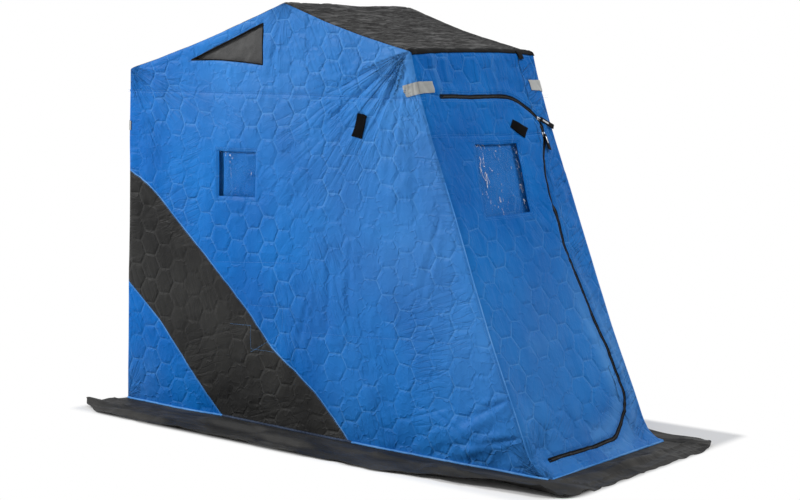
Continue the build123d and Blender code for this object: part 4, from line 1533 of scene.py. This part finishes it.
hook_lift, hook_thickness = 0.0050, 0.0022
hook_corners = [(1.292, 1.151), (1.336, 1.142), (1.367, 1.228), (1.321, 1.238)]
for side, wall in walls.items():
    patch(f"{side}_hook", wall, hook_corners, 2, 3, hook_lift, black_patch, hook_thickness, "hut", "black_patch",
          [f"{side}_hook_patch"])
door_hook_corners = front_flat([(0.094, 1.180), (0.162, 1.135), (0.201, 1.171), (0.118, 1.207)])
patch("door_hook", front_wall, door_hook_corners, 3, 2, hook_lift, black_patch, hook_thickness, "door", "black_patch",
      ["door_hook_patch"])

# %% Reflective tape on the corners
tape_lift, tape_thickness = 0.0034, 0.0012


def reflector(name, wall, corners, across, nodes=()):
    """A short strip of reflective tape, laid on the folds."""
    patch(name, wall, corners, across, 12, tape_lift, reflective_tape, tape_thickness, "hut", "reflective_tape", nodes)


def profile_x(run):
    """The distance from the rear wall at a length along the profile."""
    return float(np.interp(run, profile_run, profile[:, 0]))


front_low, front_high = float(front_run(1.310)), float(front_run(1.353))
rear_low, rear_high = run_at((0.045, 1.145)), run_at((0.047, 1.185))
for side, wall in walls.items():
    sign = -1 if side == "left" else 1
    corners = [(1.552, 1.298), (profile_x(front_low), 1.310), (profile_x(front_high), 1.353), (1.531, 1.338)]
    reflector(f"{side}_front_reflector_side", wall, corners, 18)
    edge, end = sign * half, sign * (half - (0.074 if side == "left" else 0.089))
    corners = [(edge, front_low), (end, front_low - 0.002), (end, front_high + 0.001), (edge, front_high)]
    reflector(f"{side}_front_reflector", front_wall, corners, 20, ["front_reflectors"])
    end = sign * (half - 0.062)
    corners = [(edge, rear_low), (end, rear_low), (end, rear_high), (edge, rear_high)]
    reflector(f"{side}_rear_reflector", rear_wall, corners, 18, ["rear_reflectors"])
    low_d, high_d = profile_x(rear_low), profile_x(rear_high)
    corners = [(low_d, 1.145), (low_d + 0.016, 1.146), (high_d + 0.015, 1.184), (high_d, 1.183)]
    reflector(f"{side}_rear_reflector_side", wall, corners, 6)


# %% Panes and blinds


def swollen(outline, amount):
    """An outline moved outwards from its middle."""
    middle = outline.mean(axis=0)
    away = outline - middle
    return middle + away * (1 + amount / np.abs(away).mean(axis=0))


def film_wrinkles(u, v):
    """Long upright wrinkles, as in film that is a little too wide for its frame."""
    fade = np.minimum(1, 6 * np.minimum(np.minimum(u, 1 - u), np.minimum(v, 1 - v)))
    return fade * 0.0016 * rumple(np.column_stack([u, v]), (0.07, 0.6), 70)


def hanging(open_side):
    """A blind that hangs a little free of its frame, with a gap at one side."""

    def hang(u, v):
        """How far the blind stands off its frame, from shares of its width and height."""
        bend = 0.0016 * rumple(np.column_stack([u, v]), 0.22, 71)
        return bend - 0.002 * np.sin(np.pi * v) - 0.016 * bell(u - open_side, 0.055)

    return hang


def door_glints(u, v):
    """Painted glints on the door's film: most at its top left, along its right edge and in two upright streaks, and a
    little everywhere.
    """
    streak = bell(u - 0.44, 0.035) * rise(0.35, 0.65, v) + bell(u - 0.16, 0.04) * rise(0.9, 0.4, v)
    edges = np.exp(-((u / 0.30) ** 2) - (v / 0.10) ** 2) + bell(u - 0.95, 0.05) * (1 - v)
    return 0.10 + 1.0 * edges + 1.2 * streak


def side_glints(u, v):
    """Painted glints on the side windows' film: a few along its top and foot."""
    return 0.25 * bell(v - 0.95, 0.06) + 0.15 * bell(v - 0.05, 0.05)


film_margin, film_depth, film_thickness = 0.010, -0.0078, 0.0006
blind_margin, blind_depth, blind_thickness = 0.014, -0.0105, 0.0050
for prefix, wall, outline, body, open_side, glints in (
    ("left", left_wall, pane_outline, "hut", 0.05, side_glints),
    ("right", right_wall, pane_outline, "hut", 0.05, side_glints),
    ("door", front_wall, door_pane, "door", 0.93, door_glints),
):
    film = patch(f"{prefix}_film", wall, swollen(outline, film_margin), 40, 36, film_depth, clear_film,
                 film_thickness, body, "clear_film", [f"{prefix}_window_film"], film_wrinkles, glints)
    blind = patch(f"{prefix}_blind", wall, swollen(outline, blind_margin), 40, 24, blind_depth, blind_cloth,
                  blind_thickness, body, "blind_cloth", [f"{prefix}_window_blind"], hanging(open_side))
    frame_cloth = "door_main_cloth" if prefix == "door" else f"{prefix}_middle_panel_cloth"
    for obj, grown in ((film, film_margin), (blind, blind_margin)):
        size = np.ptp(swollen(outline, grown), axis=0)
        tuple(size)

# %% Vent mesh


def vent_panel_at(flat):
    """The name of the net where it lies behind the vent, or nothing."""
    return np.where(inside(flat, vent_net), "net", "")


net_step, net_depth = 0.010, -0.0085
vent_net = swollen(vent_outline, 0.008)
for side, wall in walls.items():
    spans = [(vent_net[:, i].min() - 0.005, vent_net[:, i].max() + 0.005) for i in (0, 1)]
    cloth = cut_cloth(*spans, net_step, vent_panel_at, [closed(vent_net)], [])["net"]
    points = wall.place(cloth[0], net_depth, quilted=False)
    faces = cloth[1] if side == "left" else [face[::-1] for face in cloth[1]]
    obj = new_piece(f"{side}_vent_net", points, faces)
    obj.data.materials.append(black_mesh)
    thicken(obj, 0.001)
    tidy(obj)
    dress(obj, "hut", "black_mesh", f"{side}_vent_mesh")
    size = np.ptp(cloth[0], axis=0)
    tuple(size)
    flat_area(*cloth)

# %% [markdown]
# ## Zip
#
# The zip is two woven tapes with a row of teeth between them. One tape and its teeth belong to the wall, the
# other half belongs to the door, so the zip parts when the door swings. A tape is a ribbon that follows the line
# on the cloth. The teeth come from a tree, half a pitch apart on the two sides.

# %% Ribbons


def beside(line, offset):
    """A line that runs beside another in flat coordinates, at a distance that may vary along it."""
    run = np.gradient(line, axis=0)
    run /= np.linalg.norm(run, axis=1)[:, None]
    return line + np.column_stack([-run[:, 1], run[:, 0]]) * np.reshape(offset, (-1, 1))


def ribbon(name, wall, line, inner, outer, thickness, finish, body, slot, nodes=(), lift=0.0008):
    """A strip of tape along a line, from one distance beside it to another."""
    stations = (0.0, 0.10, 0.5, 0.90, 1.0)
    heights = (0.0, thickness, thickness * 1.15, thickness, 0.0)
    rows = []
    for share, height in zip(stations, heights):
        flat = beside(line, np.asarray(inner) * (1 - share) + np.asarray(outer) * share)
        rows.append(wall.place(flat) + wall.outward(flat) * (height + lift))
    points = np.concatenate(rows)
    count = len(line)
    faces = [[r * count + i, r * count + i + 1, (r + 1) * count + i + 1, (r + 1) * count + i]
             for r in range(len(rows) - 1) for i in range(count - 1)]
    middle = len(faces) // 2
    faces = turned_to(wall.outward(line[[faces[middle][0] % count]])[0], points, faces, middle)
    obj = new_piece(name, points, faces)
    obj.data.materials.append(finish)
    thicken(obj, 0.001)
    tidy(obj, 50)
    dress(obj, body, slot, *nodes)
    return obj


# %% The two halves of the zip
zip_run = even(zip_line, 0.005)
zip_run = zip_run[(zip_run[:, 0] > hinge_y + 0.008)]
past_bend, past_pane = zip_run[:, 1] - front_run(1.155), zip_run[:, 1] - front_run(0.92)
tucked = rise(0.03, 0.10, past_bend) * (1 - rise(0.0, 0.10, past_pane))
tape_width = 0.0085 - 0.0035 * tucked
tooth_pitch, tooth_size = 0.0034, (0.0019, 0.0030, 0.0016)
for name, sign, body, node in (("wall_tape", -1, "hut", "wall_zip_tape"), ("door_tape", 1, "door", "door_zip_tape")):
    ribbon(name, front_wall, zip_run, sign * 0.0006, sign * tape_width, 0.0012, zip_tape, body, "zip_tape", [node])

for name, sign, body in (("wall_teeth", -1, "hut"), ("door_teeth", 1, "door")):
    line = beside(zip_run, sign * 0.0015)[3 if sign > 0 else 4 : -3]
    shifted = line if sign > 0 else (line[:-1] + line[1:]) / 2
    teeth = new_lines(name, [(front_wall.place(shifted, 0.0026), front_wall.outward(shifted))])
    grow(teeth, teeth_tree, Pitch=tooth_pitch, Size=tooth_size, Material=zip_teeth)
    dress(teeth, body, "zip_tape")

# %% Which side of the line is the door's
probe = beside(zip_run, -0.02)[len(zip_run) // 2]
print("the wall's half of the zip lies outside the door:", not inside(probe[None], door_outline)[0])

# %% [markdown]
# ## Thread, piping and cord
#
# Rows of pale thread run along each seam, and the sewn outline of every pane, pocket and patch is thread too.
# The hem has piping where the wall meets the skirt, and under the sash it is a twisted cord.

# %% Rows of stitches


def sew(name, wall, lines, finish, body, slot, pitch=0.0052, length=0.0040, thread=0.0011, lift=0.0006):
    """Rows of stitches along flat lines on a wall."""
    runs = []
    for line in lines:
        line = even(line, 0.006)
        runs.append((wall.place(line, lift), wall.outward(line)))
    obj = new_lines(name, runs)
    grow(obj, stitching_tree, Pitch=pitch, Length=length, Thread=thread, Material=finish)
    obj.data.shade_smooth()
    return dress(obj, body, slot)


def pair(line, gap=0.0045):
    """Two rows, one on each side of a seam."""
    return [beside(even(line, 0.01), gap), beside(even(line, 0.01), -gap)]


def framed(outline, amounts):
    """Closed rows around an outline."""
    return [closed(swollen(outline, amount)) for amount in amounts]


def clipped(line, lowest=0.004):
    """The part of a line that lies on a side wall."""
    return line[inside(line, closed(side_outline)) & (line[:, 1] > lowest)]


def front_corner_line(lowest, highest):
    """The front corner of a side wall, between two heights."""
    return profile[(profile[:, 0] > 1.60) & (profile[:, 1] > lowest) & (profile[:, 1] < highest)]


for side, wall in walls.items():
    rows = pair(side_seam) + [clipped(row) for row in pair(sash_top) + pair(sash_foot)]
    rows += framed(pane_outline, (0.007, 0.013)) + framed(vent_outline, (0.008,)) + pocket_lines
    rows.append(beside(even(front_corner_line(0.03, 1.28), 0.01), -0.012))
    sew(f"{side}_side_stitches", wall, rows, pale_thread, "hut", "blue_cloth", 0.0052 if side == "left" else 0.0080)
    rows = framed(np.array(hook_corners), (-0.004,))
    sew(f"{side}_hook_stitches", wall, rows, dark_thread, "hut", "black_patch", lift=hook_lift)
for name, sign, body in (("wall_zip_stitches", -1, "hut"), ("door_zip_stitches", 1, "door")):
    rows = [beside(zip_run, sign * offset) for offset in (0.012, 0.020)]
    sew(name, front_wall, rows, pale_thread, body, "blue_cloth")
hinge_rows = [
    np.array([(-half + 0.004, door_seam[0, 1] + offset), (hinge_y - 0.016, door_seam[0, 1] + offset)])
    for offset in (-0.0045, 0.0045)
]
sew("strip_stitches", front_wall, [strip_seam] + hinge_rows, pale_thread, "hut", "blue_cloth")
door_rows = [row[inside(row, door_outline)] for row in pair(door_seam)] + framed(door_pane, (0.007, 0.014))
sew("door_stitches", front_wall, door_rows, pale_thread, "door", "blue_cloth")
rows = framed(np.array(door_hook_corners), (-0.004,))
sew("door_hook_stitches", front_wall, rows, dark_thread, "door", "black_patch", lift=hook_lift)
sew("rear_stitches", rear_wall, pair(rear_seam), pale_thread, "hut", "blue_cloth")

# %% Binding over the roof's front edge, with its tab
brow = even(np.array([(-half + 0.001, brow_run), (half - 0.001, brow_run)]), 0.008)
arch = 0.012 * (1 - (brow[:, 0] / half) ** 2)
ribbon("front_binding", front_wall, brow, -0.020 - arch, 0.013 - arch, 0.0022, black_webbing, "hut", "black_webbing",
       ["roof_front_binding"], 0.0022)
tab_corners = [(0.256, brow_run + 0.030), (0.290, brow_run + 0.028),
               (0.290, brow_run - 0.004), (0.256, brow_run - 0.004)]
patch("brow_tab", front_wall, tab_corners, 6, 6, 0.0075, black_webbing, 0.0024, "hut", "black_webbing")

# %% Piping along the sash, the hem and the front corner


def pipe(name, wall, line, radius, finish, body, slot, lift=0.0):
    """Round piping along a flat line."""
    line = even(line, 0.008)
    obj = new_lines(name, [(wall.place(line, lift), wall.outward(line))])
    grow(obj, piping_tree, Radius=radius, Material=finish)
    obj.data.shade_smooth()
    return dress(obj, body, slot)


seam_piping, vent_piping, hem_piping, welt_piping = 0.0022, 0.0034, 0.0048, 0.0019
sash_start, sash_end = 0.590, 1.300
for side, wall in walls.items():
    for end, line in (("top", sash_top), ("foot", sash_foot)):
        pipe(f"{side}_sash_piping_{end}", wall, clipped(line), seam_piping, blue_piping, "hut", "blue_cloth", -0.0004)
    pipe(f"{side}_vent_trim", wall, closed(vent_outline), vent_piping, black_webbing, "hut", "black_webbing", -0.0002)
    for part, start, end in (("heel", 0.012, sash_start), ("toe", sash_end, toe[0] - 0.012)):
        line = np.array([(start, 0.006), (end, 0.006)])
        pipe(f"{side}_{part}_hem_piping", wall, line, hem_piping, blue_piping, "hut", "blue_cloth", 0.002)
    line = even(np.array([(sash_start, 0.007), (sash_end, 0.007)]), 0.008)
    cord = new_lines(f"{side}_sash_hem_cord", [(wall.place(line, 0.003), wall.outward(line))])
    grow(cord, cord_tree, Radius=0.0055, Lay=0.022, Material=cord_cloth)
    cord.data.shade_smooth()
    dress(cord, "hut", "charcoal_cloth")
for side, wall in walls.items():
    welt = beside(front_corner_line(0.05, 1.00), -0.0015)
    pipe(f"{side}_corner_welt", wall, welt, welt_piping, blue_piping, "hut", "blue_cloth")
front_hem = np.array([(-half + 0.012, toe_run - 0.006), (half - 0.012, toe_run - 0.006)])
pipe("front_hem_piping", front_wall, front_hem, 0.0046, blue_piping, "hut", "blue_cloth", 0.001)

# %% [markdown]
# ## Sliders
#
# Two sliders sit high on the zip's curve, one for each hand. Each is a small metal body with a bridge, a black
# pull and a pale metal insert in the pull. They are made from rounded boxes, because their edges are what shows.

# %% Rounded boxes


def rounded_box(shape, size, place, turn, bevel):
    """Adds a box with rounded edges to a mesh that is being built."""
    made = bmesh.ops.create_cube(shape, size=1.0)["verts"]
    bmesh.ops.scale(shape, vec=size, verts=made)
    edges = list({edge for vert in made for edge in vert.link_edges})
    out = bmesh.ops.bevel(shape, geom=edges, offset=bevel, segments=3, affect="EDGES", profile=0.5)
    verts = list({vert for face in out["faces"] for vert in face.verts} | {vert for vert in made if vert.is_valid})
    bmesh.ops.transform(shape, matrix=Matrix.Translation(place) @ turn, verts=verts)


def slider(name, at, toward):
    """A slider at a flat place on the front wall, whose pull hangs toward another flat place."""
    base, tip = [Vector(p) for p in front_wall.place(np.array([at, toward]), 0.004)]
    out = Vector(front_wall.outward(np.array([at]))[0])
    run = (tip - base).normalized()
    side = out.cross(run).normalized()
    turn = Matrix((run, side, out)).transposed().to_4x4()
    length = (tip - base).length
    # Each box is its size, its place along the pull and above the zip, and the round of its edges.
    for part, finish, boxes in (
        ("body", zip_metal, [((0.022, 0.013, 0.0042), 0.0, 0.0, 0.0018),
                             ((0.012, 0.0045, 0.0060), 0.001, 0.0052, 0.0016)]),
        ("pull", black_webbing, [((length, 0.0190, 0.0044), length / 2 + 0.004, 0.0066, 0.0019)]),
        ("insert", zip_metal, [((length * 0.44, 0.0068, 0.0050), length * 0.44, 0.0074, 0.0016)]),
    ):
        shape = bmesh.new()
        for size, forward, above, bevel in boxes:
            rounded_box(shape, size, base + run * forward + out * above, turn, bevel)
        mesh = bpy.data.meshes.new(f"{name}_{part}")
        shape.to_mesh(mesh)
        shape.free()
        mesh.materials.append(finish)
        mesh.shade_smooth()
        dress(in_scene(f"{name}_{part}", mesh), "hut", "zip_metal", "zip_sliders")


slider("upper_slider", *front_flat([(0.292, 1.204), (0.366, 1.170)]))
slider("lower_slider", *front_flat([(0.294, 1.146), (0.286, 1.084)]))

# %% [markdown]
# ## Skirt
#
# The skirt is a loose sheet that lies on the ice all round the sides and the front, and is weighed down with
# snow. It lies in long low folds, its edge wavers, and at the front corners it is mitred.

# %% The skirt's outline
skirt_reach_left = [
    (-0.034, -0.573), (0.047, -0.632), (0.148, -0.672), (0.355, -0.671), (0.667, -0.684), (0.924, -0.670),
    (1.190, -0.675), (1.422, -0.658), (1.653, -0.653), (1.856, -0.627), (2.051, -0.601), (2.166, -0.589),
    (2.278, -0.577), (2.335, -0.545), (2.372, -0.493),
]
skirt_reach_front = [
    (2.372, -0.493), (2.390, -0.457), (2.377, -0.245), (2.380, -0.120), (2.385, -0.062), (2.390, 0.130),
    (2.387, 0.282), (2.380, 0.376), (2.362, 0.423),
]
skirt_reach_right = [
    (-0.034, 0.573), (0.047, 0.632), (0.148, 0.672), (0.355, 0.671), (0.667, 0.684), (1.000, 0.672),
    (1.422, 0.640), (1.653, 0.600), (1.856, 0.540), (2.051, 0.490), (2.138, 0.471), (2.234, 0.480),
    (2.316, 0.462), (2.362, 0.423),
]


def skirt_height(points):
    """How high the loose sheet lies off the ground: long folds, most of them along the walls."""
    long_way = np.abs(points[:, 1]) > half
    folds = np.where(long_way, rumple(points, (0.40, 0.055), 81), rumple(points, (0.055, 0.40), 82))
    small = rumple(points, 0.07, 83)
    creased = np.where(long_way, sharp(points, (0.26, 0.050), 86), sharp(points, (0.050, 0.26), 87))
    return 0.0042 + 0.032 * np.clip(folds, 0, 1) ** 1.2 + 0.0070 * np.clip(small, 0, 1) + 0.0095 * creased


def skirt_sheet(name, inner, outer, rows, columns, node):
    """A length of skirt between the foot of a wall and its own outer edge."""
    inner, outer = even(inner, 0.004), even(outer, 0.004)
    share = np.linspace(0, 1, columns)
    near, far = [follow(share, np.linspace(0, 1, len(line)), line) for line in (inner, outer)]
    across = np.linspace(0, 1, rows)[:, None, None]
    ground = (near[None] * (1 - across) + far[None] * across).reshape(-1, 2)
    weight = np.repeat(np.linspace(0, 1, rows), columns)
    wander = [0.011 * rumple(ground, 0.16, seed) + 0.009 * rumple(ground, 0.06, seed + 2) for seed in (84, 85)]
    ground = ground + np.stack(wander, axis=1) * rise(0.3, 1.0, weight)[:, None]
    height = skirt_height(ground) * (0.12 + 0.88 * rise(0.10, 0.50, weight)) + 0.003
    points = np.column_stack([ground[:, 0] + rear_x, ground[:, 1], height])
    faces = turned_to((0.0, 0.0, 1.0), points, grid_squares(rows, columns).tolist(), 0)
    obj = new_piece(name, points, faces)
    obj.data.materials.append(skirt_cloth)
    thicken(obj, 0.0026)
    tidy(obj, 60)
    dress(obj, "hut", "skirt_cloth", node)
    area = flat_area(np.vstack([inner, outer[::-1]]), [list(range(len(inner) + len(outer)))])


def foot_of(wall, flat, depth):
    """The line on the ground where the skirt is sewn to the foot of a wall."""
    foot = wall.place(flat, depth, quilted=False)
    return np.column_stack([foot[:, 0] - rear_x, foot[:, 1]])


for side, reach in (("left", skirt_reach_left), ("right", skirt_reach_right)):
    inner = foot_of(walls[side], [(d, 0.0) for d in np.linspace(0.004, toe[0], 240)], -0.010)
    skirt_sheet(f"{side}_skirt_sheet", inner, soften(np.array(reach), 0.03), 38, 250, f"{side}_skirt")
inner = foot_of(front_wall, [(y, toe_run) for y in np.linspace(-half + 0.002, half - 0.002, 100)], -0.008)
skirt_sheet("front_skirt_sheet", inner, soften(np.array(skirt_reach_front), 0.02), 30, 110, "front_skirt")

# %% [markdown]
# ## Tubes and hubs
#
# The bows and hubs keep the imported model's own shapes. The bows are painted metal and the hubs are moulded.

# %% Finishes of the frame
for name in (*tubes, "left_hub", "right_hub"):
    own = frame["nodes"][name].data.materials
    own.clear()
    own.append(frame_tube if name in tubes else hub_plate)
print("bows:", tubes)

# %% [markdown]
# ## Floor, light and camera
#
# A white floor runs into a white world, and only a soft shadow ties the hut to the ground. A large lamp from the
# upper left draws out the folds, and the world fills the rest.

# %% Floor
shadow_margin = 0.05
bpy.ops.mesh.primitive_plane_add(size=60.0, location=(0, 0, 0))
floor = bpy.context.object
floor.name = "floor"
material, recipe, shader = finish_named("floor_white")
shader.inputs["Base Color"].default_value = (0.80, 0.80, 0.80, 1)
shader.inputs["Roughness"].default_value = 0.9
shader.inputs["Specular IOR Level"].default_value = 0.0
x, y, _ = recipe.axes(recipe.spot())
past_x = (x.math("ABSOLUTE") - cad_high.x + shadow_margin).maximum(0.0)
past_y = (y.math("ABSOLUTE") - cad_high.y + shadow_margin).maximum(0.0)
away = (past_x * past_x + past_y * past_y).math("SQRT").step_up(0.0, 0.06)
glow = recipe.node("ShaderNodeEmission", {}, {"Color": (1, 1, 1, 1), "Strength": 1.0})
glowing = seen_directly(recipe) * away
both = recipe.node("ShaderNodeMixShader", {}, {0: glowing, 1: Wire(recipe, shader.outputs[0]), 2: glow})
recipe.feed(material.node_tree.nodes["Material Output"].inputs["Surface"], both)
floor.data.materials.append(material)

# %% World and lamps
world = bpy.data.worlds.new("white_world")
bpy.context.scene.world = world
world.use_nodes = True
recipe = Recipe(world.node_tree)
background = world.node_tree.nodes["Background"]
background.inputs["Color"].default_value = (1, 1, 1, 1)
recipe.feed(background.inputs["Strength"], seen_directly(recipe) * 0.54 + 0.46)


def lamp(name, place, target, size, watts):
    """A square softbox that points at a target."""
    data = bpy.data.lights.new(name, "AREA")
    data.size, data.energy = size, watts
    obj = in_scene(name, data)
    obj.location = place
    obj.rotation_euler = (Vector(target) - Vector(place)).to_track_quat("-Z", "Y").to_euler()


middle = (cad_low + cad_high) / 2
lamp("key", (-5.2, -4.4, 4.8), middle, 1.6, 490)
lamp("second", (3.5, 1.2, 6.5), middle, 1.6, 196)

# %% Camera
camera_data = bpy.data.cameras.new("camera")
camera_data.lens = 72.2
camera = in_scene("camera", camera_data)
camera.location = (4.0325, -4.821, 1.401)
camera.rotation_euler = (math.radians(83.53), 0, math.radians(39.74))
bpy.context.scene.camera = camera
bpy.context.scene.view_settings.view_transform = "Standard"
